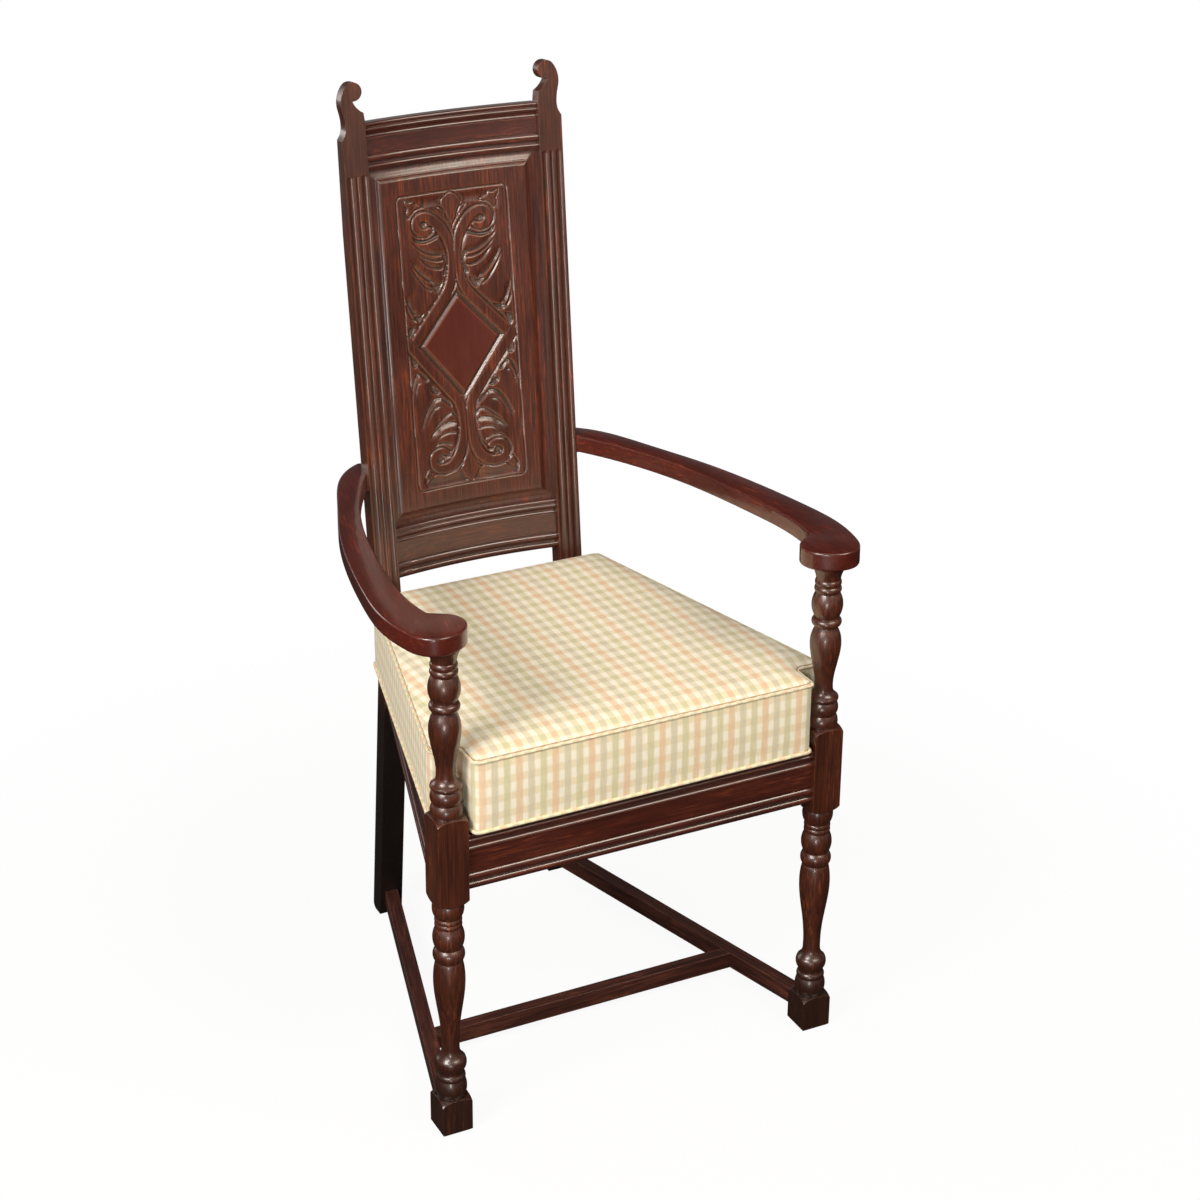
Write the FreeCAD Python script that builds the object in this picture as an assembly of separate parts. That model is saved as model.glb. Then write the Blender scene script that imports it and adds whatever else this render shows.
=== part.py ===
import FreeCAD, Part
import math
import os

# A panel-back armchair in the joined ("wainscot") manner, built like the real one: turned front posts,
# raked rear posts that end in scroll ears, moulded rails tenoned between them, a bowed raised panel,
# bowed arms and a loose box cushion. Millimetres, +Z up, the front looks along -Y.

# Overall sizes
height = 1219.0
front_width = 572.0
rear_foot_width = 306.0
rear_top_width = 316.0

# Seat frame
seat_rail_top = 431.0
seat_rail_height = 77.0
rail_thickness = 22.0
rail_setback = 5.0
seat_depth = 482.5
seat_board_thickness = 12.0
seat_board_gap = 0.8

# Front posts
post_side = 41.0
foot_block_top = 45.0
seat_block_bottom = 343.0
seat_block_top = 453.0
turning_radius = 20.4
pommel_rise = 6.0
pommel_neck_share = 0.84
pommel_arch_share = 0.7
pommel_waist_share = 0.6
foot_chamfer = 3.0
arm_tenon_radius = 11.0
arm_tenon_length = 15.0

# Rear posts
stile_width = 34.0
stile_depth = 25.0
ear_depth = 15.5
ear_taper_drop = 199.0
bend_height = 400.0
rear_foot_rake = 47.0
back_rake = 96.1
heel_radius = 9.0
flute_width = 9.0
flute_depth = 2.2
centre_flute_width = 5.5
centre_flute_depth = 1.8
flute_pitch = 10.0
flute_bottom = 440.0
flute_top_drop = 121.0

# Scroll ears of the rear posts
ear_radius = 12.4
ear_inset = 19.6
ear_shoulder_drop = 74.5
ear_waist_drop = 57.5
ear_waist_inset = 6.5
ear_brow_drop = 27.0
ear_brow_inset = 2.0
ear_bump_drop = 40.5
ear_bump_rise = 1.5
ear_hollow = 1.4
ear_notch_turn_share = 1.53

# Bowed rails of the back
crest_drop = 54.0
crest_top = height - crest_drop
crest_height = 63.5
lower_rail_bottom = 542.5
lower_rail_height = 71.0
back_rail_thickness = 17.0
back_rail_setback = 4.8
back_bow = 13.0

# Mouldings worked on the rails
upper_run = 23.0
lower_run = 22.5
moulding_depth = 4.0
band_depth = 2.2

# Raised panel
panel_field_setback = 3.0
panel_step = 1.5
panel_bevel_depth = 4.5
panel_tongue = 5.0
panel_margin = 20.0
panel_tongue_length = 6.0
groove_play = 0.3
line_width = 2.4
line_depth = 1.2
carved_frame_width = 158.0
carved_frame_margin = 40.0
carved_frame_radius = 9.0
lozenge_width = 128.0
lozenge_height = 151.0
lozenge_drop = 6.8
groove_floor_play = 1.0

# Arms
arm_front_height = 711.0
arm_rear_height = 699.5
arm_thickness = 24.5
arm_edge_radius = 2.5
arm_housing = 5.0
dowel_radius = 4.0
dowel_depth = 14.0

# Stretchers
stretcher_bottom = 14.7
stretcher_height = 23.3
stretcher_thickness = 19.0
stretcher_front_inset = 9.5
stretcher_rear_inset = 7.3
cross_stretcher_front = 164.0
cross_stretcher_thickness = 17.0

# Mortise and tenon joints
tenon_thickness = 8.0
tenon_shoulder = 6.0
front_tenon_length = 15.0
rear_tenon_length = 10.0
side_tenon_length = 12.0
stretcher_tenon_length = 12.0
back_tenon_length = 14.0
back_tenon_thickness = 7.0
back_tenon_root = 2.0
tenon_relief = 0.5
mortise_play = 0.1
mortise_floor_play = 0.6

# Corner blocks and their screws
corner_block_leg = 62.0
corner_block_height = 34.0
screw_place = 38.0
screw_radius = 2.0
screw_head_radius = 4.0
screw_head_height = 2.4
screw_length = 32.0
screw_bite = 12.0
screw_play = 0.1
screw_tip_share = 0.25

# Cushion
cushion_clearance = 0.3
cushion_front_overhang = 4.0
cushion_front_width = 478.0
cushion_rear_width = 344.0
cushion_shelf_width = 556.0
cushion_notch_gap = 3.0
cushion_rear_gap = 2.0
cushion_boxing = 103.0
cushion_crown = 11.0
cushion_corner_radius = 9.0
cushion_bulge = 2.0

overrun = 60.0

SIDES = (("left", -1), ("right", 1))
Z_AXIS = FreeCAD.Vector(0, 0, 1)
X_AXIS = FreeCAD.Vector(1, 0, 0)
ORIGIN = FreeCAD.Vector(0, 0, 0)

back_rise = height - bend_height
back_angle = math.atan2(back_rake, back_rise)
back_length = math.hypot(back_rake, back_rise)
post_axis_x = (front_width - post_side) / 2


def vec(x, y, z):
    return FreeCAD.Vector(x, y, z)


def box(low, high):
    """Block between two corners, each an (x, y, z)."""
    size = [b - a for a, b in zip(low, high)]
    return Part.makeBox(size[0], size[1], size[2], vec(*low))


def mirrored(shape, side):
    """The right-hand piece as it is, or its mirror image for the left."""
    return shape if side > 0 else shape.mirror(ORIGIN, X_AXIS)


def path_wire(start, steps):
    """Closed wire from a start point through line and three-point arc steps."""
    edges = []
    here = start
    for step in steps:
        end = step[-1]
        if len(step) == 1:
            edges.append(Part.makeLine(here, end))
        else:
            edges.append(Part.Arc(here, step[0], end).toShape())
        here = end
    edges.append(Part.makeLine(here, start))
    return Part.Wire(edges)


def prism(corners, direction):
    """Solid from a flat polygon pushed along a direction."""
    return Part.Face(Part.makePolygon(corners + corners[:1])).extrude(direction)


def rounded_outline(corners, radius, z):
    """Closed wire of lines and arcs round a polygon."""
    count = len(corners)
    edges = []
    ends = []
    for index, corner in enumerate(corners):
        before = (corners[index - 1] - corner).normalize()
        after = (corners[(index + 1) % count] - corner).normalize()
        half = before.getAngle(after) / 2
        reach = radius / math.tan(half)
        entry = corner + before * reach
        leave = corner + after * reach
        bisector = (before + after).normalize()
        middle = corner + bisector * (radius / math.sin(half) - radius)
        ends.append((entry, leave))
        edges.append(Part.Arc(entry, middle, leave).toShape())
    sides = []
    for index in range(count):
        sides.append(Part.makeLine(ends[index][1], ends[(index + 1) % count][0]))
    ordered = [edge for pair in zip(edges, sides) for edge in pair]
    wire = Part.Wire(ordered)
    wire.translate(vec(0, 0, z))
    return wire


def outer_x(z):
    """Half the width over the rear posts, which stand a little wider at the top than at the floor."""
    return (rear_foot_width + (rear_top_width - rear_foot_width) * z / height) / 2


def along(z):
    """Distance up the raked part of the rear post, from its bend to a height."""
    return (z - bend_height) / math.cos(back_angle)


def set_in_back(shape):
    """Tips a shape, drawn with the posts' faces at y = 0 and their bend at z = 0, to the back's rake."""
    placed = shape.copy()
    placed.rotate(ORIGIN, X_AXIS, -math.degrees(back_angle))
    placed.translate(vec(0, seat_depth, bend_height))
    return placed


# Front posts: one turned piece each, square where rails and stretchers enter.
# Each step is (height share, radius share), or an arc through the first pair to the second.
lower_turning_shares = (
    ((0.020, 0.84),),
    ((0.070, 1.00), (0.104, 0.86)),
    ((0.118, 0.92), (0.131, 0.83)),
    ((0.140, 0.80), (0.151, 0.84)),
    ((0.181, 1.00), (0.206, 0.93)),
    ((0.224, 0.70), (0.262, 0.57)),
    "vase",
    ((0.693, 0.82),),
    ((0.729, 1.00), (0.757, 0.81)),
    ((0.809, 1.00), (0.859, 0.80)),
    ((0.871, 0.86), (0.882, 0.80)),
    ((0.893, 0.86), (0.905, 0.80)),
    ((0.950, 1.00), (0.980, 0.92)),
    ((0.990, 0.88), (1.000, 1.05)),
)
lower_vase_shares = (
    (0.262, 0.57), (0.32, 0.575), (0.40, 0.675), (0.50, 0.885), (0.605, 1.00), (0.686, 0.87),
)
upper_turning_shares = (
    ((0.012, 0.84),),
    ((0.056, 1.00), (0.099, 0.84)),
    ((0.141, 0.99), (0.180, 0.83)),
    ((0.197, 0.98), (0.209, 0.95)),
    ((0.224, 0.74), (0.257, 0.595)),
    "vase",
    ((0.636, 0.70),),
    ((0.663, 0.95), (0.690, 0.74)),
    ((0.768, 0.99), (0.840, 0.75)),
    ((0.861, 0.86), (0.880, 0.76)),
    ((0.900, 0.84), (0.918, 0.76)),
    ((0.950, 0.84), (1.000, 1.10)),
)
upper_vase_shares = (
    (0.257, 0.595), (0.300, 0.59), (0.381, 0.73), (0.458, 0.905), (0.530, 0.99), (0.622, 0.74),
)


def turned(bottom, top, steps, vase):
    """Solid of revolution on the Z axis, from a table of steps; the vase is one smooth curve."""
    def at(shares):
        return vec(turning_radius * shares[1], 0, bottom + (top - bottom) * shares[0])

    start_radius = turning_radius * steps[0][0][1]
    here = vec(start_radius, 0, bottom - pommel_rise)
    edges = [Part.makeLine(vec(0, 0, here.z), here)]
    for step in steps:
        if step == "vase":
            curve = Part.BSplineCurve()
            curve.interpolate([here] + [at(pair) for pair in vase[1:]])
            edges.append(curve.toShape())
            here = at(vase[-1])
            continue
        end = at(step[-1])
        if len(step) == 1:
            edges.append(Part.makeLine(here, end))
        else:
            edges.append(Part.Arc(here, at(step[0]), end).toShape())
        here = end
    crown = vec(0, 0, top + pommel_rise)
    edges.append(Part.makeLine(here, vec(here.x, 0, crown.z)))
    edges.append(Part.makeLine(vec(here.x, 0, crown.z), crown))
    edges.append(Part.makeLine(crown, vec(0, 0, bottom - pommel_rise)))
    return Part.Face(Part.Wire(edges)).revolve(ORIGIN, Z_AXIS, 360)


def squared(bottom, top, rounded_bottom):
    """Square length of a post; the lathe has rounded its shoulders, which leaves an arch on each face."""
    corner_radius = post_side / math.sqrt(2) + mortise_play
    neck = turning_radius * pommel_neck_share
    waist = neck + (corner_radius - neck) * pommel_waist_share
    half = post_side / 2
    low = bottom - pommel_rise if rounded_bottom else bottom
    block = box((-half, -half, low), (half, half, top + pommel_rise))
    steps = []
    if rounded_bottom:
        start = vec(neck, 0, low)
        arch = vec(waist, 0, bottom - pommel_rise * pommel_arch_share)
        steps.append((arch, vec(corner_radius, 0, bottom)))
    else:
        start = vec(corner_radius, 0, low)
    steps.append((vec(corner_radius, 0, top),))
    arch = vec(waist, 0, top + pommel_rise * pommel_arch_share)
    steps.append((arch, vec(neck, 0, top + pommel_rise)))
    steps.append((vec(0, 0, top + pommel_rise),))
    steps.append((vec(0, 0, low),))
    envelope = Part.Face(path_wire(start, steps)).revolve(ORIGIN, Z_AXIS, 360)
    return block.common(envelope)


def chamfered_foot(block):
    """Foot block with its four bottom edges eased."""
    edges = [e for e in block.Edges if e.BoundBox.ZMax < foot_chamfer]
    return block.makeChamfer(foot_chamfer, edges)


def front_post_blank():
    """Right-hand front post before its mortises are cut and its top is fitted to the arm."""
    foot = chamfered_foot(squared(0, foot_block_top, False))
    seat_block = squared(seat_block_bottom, seat_block_top, True)
    leg = turned(foot_block_top, seat_block_bottom, lower_turning_shares, lower_vase_shares)
    support_top = arm_front_height - arm_thickness
    support = turned(seat_block_top, support_top, upper_turning_shares, upper_vase_shares)
    half = post_side / 2
    square = box((-half, -half, 0), (half, half, height))
    post = foot.fuse([leg.common(square), seat_block, support.common(square)])
    post.translate(vec(post_axis_x, post_side / 2, 0))
    return post


# Rear posts: sawn from a board, floor to ear in one piece, with the front fluted above the seat.
def on_circle(centre, radius, angle):
    """Point of a circle that lies in the back's own upright plane."""
    return centre + vec(math.cos(angle) * radius, 0, math.sin(angle) * radius)


def ear_outline():
    """Front outline of the right-hand rear post, drawn with the back upright.

    Above the shoulder every arc runs smoothly into the next, out to the brow and over into the round volute.
    """
    edge = outer_x(height)
    top = back_length
    reach = along(-overrun)
    inner = edge - stile_width
    shoulder = vec(outer_x(height - ear_shoulder_drop), 0, top - ear_shoulder_drop)
    waist = vec(edge - ear_waist_inset, 0, top - ear_waist_drop)
    bump = vec(inner + ear_bump_rise, 0, top - ear_bump_drop)
    volute = vec(edge - ear_inset, 0, top - ear_radius)

    lean = 2 * math.atan2(ear_inset - ear_brow_inset - ear_radius, ear_brow_drop - ear_radius)
    brow_radius = ear_radius + (ear_brow_drop - ear_radius) / math.sin(lean)
    brow_centre = vec(edge - ear_brow_inset - brow_radius, 0, top - ear_brow_drop)

    step_in = ear_waist_inset - ear_brow_inset
    step_down = ear_waist_drop - ear_brow_drop
    both_radii = (step_in ** 2 + step_down ** 2) / (2 * step_in)
    sway = math.asin(step_down / both_radii)
    neck_radius = both_radii - brow_radius
    neck_centre = waist + vec(neck_radius, 0, 0)

    flare = shoulder - waist
    flare_radius = (flare.x ** 2 + flare.z ** 2) / (2 * flare.x)
    flare_turn = math.asin(-flare.z / flare_radius)
    flare_centre = waist + vec(flare_radius, 0, 0)

    notch_turn = math.pi * ear_notch_turn_share
    notch = on_circle(volute, ear_radius, notch_turn)
    bump_mid = (notch + bump) / 2 + vec(ear_hollow, 0, -ear_hollow)
    brow_low = on_circle(brow_centre, brow_radius, -sway)
    brow_high = on_circle(brow_centre, brow_radius, lean)
    steps = [
        (shoulder,),
        (on_circle(flare_centre, flare_radius, math.pi + flare_turn / 2), waist),
        (on_circle(neck_centre, neck_radius, math.pi - sway / 2), brow_low),
        (on_circle(brow_centre, brow_radius, 0), brow_high),
        (on_circle(volute, ear_radius, (lean + notch_turn) / 2), notch),
        (bump_mid, bump),
        (vec(inner, 0, along(crest_top)),),
        (vec(outer_x(0) - stile_width, 0, reach),),
    ]
    return path_wire(vec(outer_x(0), 0, reach), steps)


def rear_post_blank():
    """Right-hand rear post before its mortises, groove and flutes are cut."""
    face_reach = rear_foot_rake + overrun
    outline = ear_outline()
    outline.translate(vec(0, -face_reach, 0))
    front_shape = set_in_back(Part.Face(outline).extrude(vec(0, face_reach * 3, 0)))
    foot_angle = math.atan2(rear_foot_rake, bend_height)
    foot_depth = stile_depth / math.cos(foot_angle)
    half_turn = (back_angle + foot_angle) / 2
    bend_back = vec(0, stile_depth, -stile_depth * math.tan(half_turn))
    bend_back = vec(
        0,
        seat_depth + bend_back.y * math.cos(back_angle) + bend_back.z * math.sin(back_angle),
        bend_height - bend_back.y * math.sin(back_angle) + bend_back.z * math.cos(back_angle),
    )
    rake = vec(0, back_rake, back_rise).normalize()
    backwards = vec(0, rake.z, -rake.y)
    top_front = vec(0, seat_depth + back_rake, height)
    top_back = top_front + backwards * ear_depth
    taper_front = vec(0, seat_depth, bend_height) + rake * along(height - ear_taper_drop)
    side_corners = [
        vec(0, seat_depth + rear_foot_rake, 0),
        vec(0, seat_depth + rear_foot_rake + foot_depth, 0),
        bend_back,
        taper_front + backwards * stile_depth,
        top_back,
        top_back + rake * overrun,
        top_front + rake * overrun,
        vec(0, seat_depth, bend_height),
    ]
    side_shape = prism(side_corners, vec(front_width, 0, 0))
    heel = [
        e for e in side_shape.Edges
        if e.BoundBox.ZMax < foot_chamfer and e.BoundBox.YMin > seat_depth + rear_foot_rake + foot_depth / 2
    ]
    return side_shape.makeFillet(heel_radius, heel).common(front_shape)


def flute_cutter(width, depth, offset):
    """Round-ended cutter for one flute of the right-hand rear post."""
    radius = (width * width / 4 + depth * depth) / (2 * depth)
    top = height - flute_top_drop
    centre = offset - stile_width / 2
    low = vec(outer_x(flute_bottom) + centre, depth - radius, along(flute_bottom))
    high = vec(outer_x(top) + centre, depth - radius, along(top) - radius / 2)
    direction = high - low
    rod = Part.makeCylinder(radius, direction.Length, low, direction)
    return set_in_back(rod.fuse([Part.makeSphere(radius, high), Part.makeSphere(radius, low)]))


# Moulded rails: bead, reed, cove and fillet above a flat band, with a torus and a bead below it.
# Shares of the moulding's depth and of its run, downwards.
upper_moulding_shares = (
    ((0.38, 0.0),),
    ((0.00, 0.13), (0.45, 0.26)),
    ((0.45, 0.30),),
    ((0.05, 0.42), (0.45, 0.54)),
    ((0.60, 0.56),),
    ((1.05, 0.72), (0.55, 0.88)),
    ((0.28, 0.88),),
    ((0.28, 1.00),),
)
lower_moulding_shares = (
    ((0.85, 0.00),),
    ((0.85, 0.06),),
    ((0.60, 0.06),),
    ((0.00, 0.27), (0.60, 0.49)),
    ((0.95, 0.49),),
    ((0.95, 0.62),),
    ((0.45, 0.62),),
    ((0.00, 0.78), (0.45, 0.94)),
    ((0.60, 1.00),),
)


def moulding_face(rail_height, thickness, face_depth):
    """Section of a moulded rail in the XZ plane: x runs into the wood from face_depth, z up its height."""
    def at(pair, top, run):
        return vec(face_depth + pair[0] * moulding_depth, 0, top - pair[1] * run)

    band_bottom = lower_run
    steps = []
    for shares in upper_moulding_shares:
        steps.append(tuple(at(pair, rail_height, upper_run) for pair in shares))
    steps.append((vec(face_depth + band_depth, 0, rail_height - upper_run),))
    steps.append((vec(face_depth + band_depth, 0, band_bottom),))
    for shares in lower_moulding_shares:
        steps.append(tuple(at(pair, band_bottom, lower_run) for pair in shares))
    steps.append((vec(face_depth + thickness, 0, 0),))
    return Part.Face(path_wire(vec(face_depth + thickness, 0, rail_height), steps))


# Seat frame: the moulded front and side rails, and a plain one between the rear posts.
seat_rail_bottom = seat_rail_top - seat_rail_height
side_rail_front_x = front_width / 2 - rail_setback
side_rail_rear_x = outer_x(bend_height) - rail_setback / 2
side_rail_run = seat_depth - post_side
side_rail_angle = math.atan2(side_rail_front_x - side_rail_rear_x, side_rail_run)
side_rail_length = math.hypot(side_rail_front_x - side_rail_rear_x, side_rail_run)


def tenon(face_point, direction, across, thickness, length, bottom, top, root, play):
    """Tenon, or with play its mortise, that leaves a shoulder point along a direction."""
    half = across * (thickness / 2 + play)
    start = face_point - direction * root
    reach = direction * (root + length + (mortise_floor_play if play else 0))
    low = bottom - play
    corners = [start - half, start + half, start + half + reach, start - half + reach]
    flat = [vec(c.x, c.y, low) for c in corners]
    return prism(flat, vec(0, 0, top - bottom + 2 * play))


def front_rail_tenon(play):
    y = rail_setback + rail_thickness / 2
    return tenon(
        vec(front_width / 2 - post_side, y, 0), X_AXIS, vec(0, 1, 0), tenon_thickness, front_tenon_length,
        seat_rail_bottom + tenon_shoulder, seat_rail_top - tenon_shoulder, front_tenon_length, play,
    )


def front_seat_rail():
    section = moulding_face(seat_rail_height, rail_thickness, 0)
    section.rotate(ORIGIN, Z_AXIS, 90)
    clear_width = front_width - 2 * post_side
    section.translate(vec(-clear_width / 2, rail_setback, seat_rail_bottom))
    rail = section.extrude(vec(clear_width, 0, 0))
    right = front_rail_tenon(0)
    return rail.fuse([right, mirrored(right, -1)])


def side_rail_frame(distance, inward):
    """Point beside the right-hand side rail: so far back from its front end, so far in from its face."""
    along_rail = vec(-math.sin(side_rail_angle), math.cos(side_rail_angle), 0)
    inwards = vec(-math.cos(side_rail_angle), -math.sin(side_rail_angle), 0)
    return vec(side_rail_front_x, post_side, 0) + along_rail * distance + inwards * inward


def side_rail_tenons(play):
    mid = rail_thickness / 2
    low = seat_rail_bottom + tenon_shoulder
    high = seat_rail_top - tenon_shoulder
    lean = mid * math.tan(side_rail_angle)
    front = side_rail_frame(-lean, mid)
    rear = side_rail_frame(side_rail_length - lean, mid)
    pair = []
    for place, way in ((front, -1), (rear, 1)):
        pair.append(tenon(
            place, vec(0, way, 0), X_AXIS, tenon_thickness, side_tenon_length,
            low, high, side_tenon_length, play,
        ))
    return pair


def side_seat_rail(rear_post):
    section = moulding_face(seat_rail_height, rail_thickness, 0)
    section.rotate(ORIGIN, Z_AXIS, 180)
    section.translate(vec(0, -overrun, seat_rail_bottom))
    rail = section.extrude(vec(0, side_rail_length + 2 * overrun, 0))
    rail.rotate(ORIGIN, Z_AXIS, math.degrees(side_rail_angle))
    rail.translate(vec(side_rail_front_x, post_side, 0))
    front_waste = box((0, -front_width, 0), (front_width, post_side, height))
    rear_waste = box((0, seat_depth + stile_depth / 2, 0), (front_width, seat_depth + front_width, height))
    rail = rail.cut(front_waste).cut(rear_waste).cut(rear_post)
    rail = max(rail.Solids, key=lambda s: s.Volume)
    return rail.fuse(side_rail_tenons(0))


def rear_rail_tenon(play):
    y = seat_depth + stile_depth / 2
    inner = outer_x(seat_rail_top) - stile_width
    return tenon(
        vec(inner, y, 0), X_AXIS, vec(0, 1, 0), tenon_thickness, rear_tenon_length,
        seat_rail_bottom + tenon_shoulder, seat_rail_top - tenon_shoulder, rear_tenon_length * 2, play,
    )


def rear_seat_rail():
    front = seat_depth + stile_depth - tenon_shoulder / 2 - rail_thickness
    low_x = outer_x(seat_rail_bottom) - stile_width
    high_x = outer_x(seat_rail_top) - stile_width
    corners = [
        vec(-low_x, front, seat_rail_bottom), vec(low_x, front, seat_rail_bottom),
        vec(high_x, front, seat_rail_top), vec(-high_x, front, seat_rail_top),
    ]
    rail = prism(corners, vec(0, rail_thickness, 0))
    right = rear_rail_tenon(0)
    return rail.fuse([right, mirrored(right, -1)])


# Back: crest rail, lower rail and raised panel, all bowed on one radius about an upright axis.
inner_half_top = outer_x(crest_top) - stile_width
bow_radius = (inner_half_top * inner_half_top + back_bow * back_bow) / (2 * back_bow)
bow_centre = vec(0, back_rail_setback + back_bow - bow_radius, 0)
bow_half_angle = math.degrees(math.asin((inner_half_top + stile_width / 2) / bow_radius))


def bowed(section):
    """Section drawn in the XZ plane, swept about the bow's axis across the back."""
    turned_face = section.copy()
    turned_face.rotate(ORIGIN, Z_AXIS, 90 - bow_half_angle)
    swept = turned_face.revolve(ORIGIN, Z_AXIS, 2 * bow_half_angle)
    swept.translate(bow_centre)
    return swept


def between_stiles(reach_in):
    """Prism of the space between the rear posts, widened by reach_in on each side."""
    low = along(0)
    high = along(height)
    low_x = outer_x(0) - stile_width + reach_in
    high_x = outer_x(height) - stile_width + reach_in
    y = -overrun
    corners = [vec(-low_x, y, low), vec(low_x, y, low), vec(high_x, y, high), vec(-high_x, y, high)]
    return prism(corners, vec(0, overrun * 3, 0))


def back_rail_tenons(bottom, rail_height, play):
    inner = outer_x(bottom) - stile_width
    y = back_rail_setback + moulding_depth + tenon_relief + back_tenon_thickness / 2
    low = along(bottom) + tenon_shoulder
    high = along(bottom) + rail_height - tenon_shoulder
    right = tenon(
        vec(inner, y, 0), X_AXIS, vec(0, 1, 0), back_tenon_thickness, back_tenon_length,
        low, high, back_tenon_root, play,
    )
    return [right, mirrored(right, -1)]


panel_low = along(lower_rail_bottom) + lower_rail_height
panel_high = along(crest_top - crest_height)
panel_front = bow_radius + panel_field_setback
panel_back = panel_front + panel_step + panel_bevel_depth + panel_tongue


def panel_groove(low, high):
    """Ring-shaped groove cutter for the panel's tongue, between two heights of the back."""
    front = panel_back - panel_tongue - groove_play
    back = panel_back + groove_play
    corners = [vec(front, 0, low), vec(back, 0, low), vec(back, 0, high), vec(front, 0, high)]
    return bowed(Part.Face(Part.makePolygon(corners + corners[:1])))


def groove_cutter():
    reach = panel_tongue_length + groove_floor_play
    return panel_groove(panel_low - reach, panel_high + reach)


def back_rail(bottom, rail_height):
    section = moulding_face(rail_height, back_rail_thickness, bow_radius)
    section.translate(vec(0, 0, along(bottom)))
    rail = bowed(section).common(between_stiles(0))
    rail = rail.fuse(back_rail_tenons(bottom, rail_height, 0))
    return set_in_back(rail.cut(groove_cutter()))


def incised(outer, inner):
    """Cutter for a line in the panel's bowed face: a thin bowed skin crossed with a flat ring."""
    low = panel_low
    high = panel_high
    face = panel_front - line_depth
    corners = [vec(face, 0, low), vec(panel_front + line_depth, 0, low)]
    corners += [vec(panel_front + line_depth, 0, high), vec(face, 0, high)]
    skin = bowed(Part.Face(Part.makePolygon(corners + corners[:1])))
    ring = Part.Face(outer).cut(Part.Face(inner))
    ring.translate(vec(0, -overrun, 0))
    return skin.common(ring.extrude(vec(0, overrun * 2, 0)))


def carved_frame_outline(inset):
    """Rounded rectangle round the panel's carving."""
    half = carved_frame_width / 2 - inset
    low = panel_low + carved_frame_margin + inset
    high = panel_high - carved_frame_margin - inset
    corners = [vec(-half, low, 0), vec(half, low, 0), vec(half, high, 0), vec(-half, high, 0)]
    outline = rounded_outline(corners, carved_frame_radius - inset, 0)
    outline.rotate(ORIGIN, X_AXIS, 90)
    return outline


def lozenge_outline(inset):
    """Lozenge in the middle of the panel's carving."""
    middle = (panel_low + panel_high) / 2 - lozenge_drop
    wide = lozenge_width / 2 - inset
    tall = (lozenge_height / 2) * wide / (lozenge_width / 2)
    right = [vec(0, 0, middle - tall), vec(wide, 0, middle)]
    corners = right + [vec(0, 0, middle + tall), vec(-wide, 0, middle)]
    return Part.makePolygon(corners + corners[:1])


def back_panel():
    """Raised panel: an upright section swept on the bow, crossed with a level section pushed upwards."""
    tongue_front = panel_back - panel_tongue
    shelf = panel_front + panel_step
    low = panel_low - panel_tongue_length
    high = panel_high + panel_tongue_length
    steps = [
        (vec(panel_back, 0, high),),
        (vec(tongue_front, 0, high),),
        (vec(tongue_front, 0, panel_high),),
        (vec(shelf, 0, panel_high - panel_margin),),
        (vec(panel_front, 0, panel_high - panel_margin),),
        (vec(panel_front, 0, panel_low + panel_margin),),
        (vec(shelf, 0, panel_low + panel_margin),),
        (vec(tongue_front, 0, panel_low),),
        (vec(tongue_front, 0, low),),
    ]
    swept = bowed(Part.Face(path_wire(vec(panel_back, 0, low), steps)))

    side_field = inner_half_top - panel_margin
    side_bevel = inner_half_top - panel_tongue

    def on_bow(radius, x):
        return bow_centre + vec(x, math.sqrt(radius * radius - x * x), 0)

    def arc(radius, x_from, x_to):
        middle = on_bow(radius, (x_from + x_to) / 2)
        return (middle, on_bow(radius, x_to))

    wide = outer_x(height)
    start = on_bow(panel_back, -wide)
    level_steps = [
        (on_bow(tongue_front, -wide),),
        arc(tongue_front, -wide, -side_bevel),
        (on_bow(shelf, -side_field),),
        (on_bow(panel_front, -side_field),),
        arc(panel_front, -side_field, side_field),
        (on_bow(shelf, side_field),),
        (on_bow(tongue_front, side_bevel),),
        arc(tongue_front, side_bevel, wide),
        (on_bow(panel_back, wide),),
        arc(panel_back, wide, 0),
        arc(panel_back, 0, -wide),
    ]
    edges = []
    here = start
    for step in level_steps:
        end = step[-1]
        if len(step) == 1:
            edges.append(Part.makeLine(here, end))
        else:
            edges.append(Part.Arc(here, step[0], end).toShape())
        here = end
    level = Part.Face(Part.Wire(edges))
    level.translate(vec(0, 0, low))
    pushed = level.extrude(vec(0, 0, high - low))
    panel = swept.common(pushed).common(between_stiles(panel_tongue_length))
    panel = panel.cut(incised(carved_frame_outline(0), carved_frame_outline(line_width)))
    panel = panel.cut(incised(lozenge_outline(0), lozenge_outline(line_width)))
    return set_in_back(panel)


# Arms: flat boards, bowed outwards in plan, that widen to a rounded hand over the front post.
# Shares across (0 on the rear post's side, 1 on the front post's axis) and along (0 on that axis, 1 at the
# rear post's face).
arm_outer_shares = (
    (0.030, 1.083), (0.155, 1.0625), (0.676, 0.855), (0.995, 0.668), (1.251, 0.462), (1.416, 0.271),
    (1.478, 0.130), (1.425, 0.030), (1.325, -0.029), (1.205, -0.051), (1.085, -0.056), (0.930, -0.047),
    (0.775, -0.023), (0.699, 0.015), (0.755, 0.058), (0.880, 0.080), (0.995, 0.097),
)
arm_inner_shares = (
    (0.995, 0.097), (1.041, 0.190), (0.950, 0.388), (0.740, 0.623), (0.440, 0.821), (0.018, 1.0),
)
arm_run = seat_depth + (arm_rear_height - bend_height) * back_rake / back_rise - post_side / 2
stile_side_x = outer_x(arm_rear_height)


def arm_point(shares):
    x = stile_side_x + (post_axis_x - stile_side_x) * shares[0]
    return vec(x, post_side / 2 + arm_run * shares[1], 0)


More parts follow.
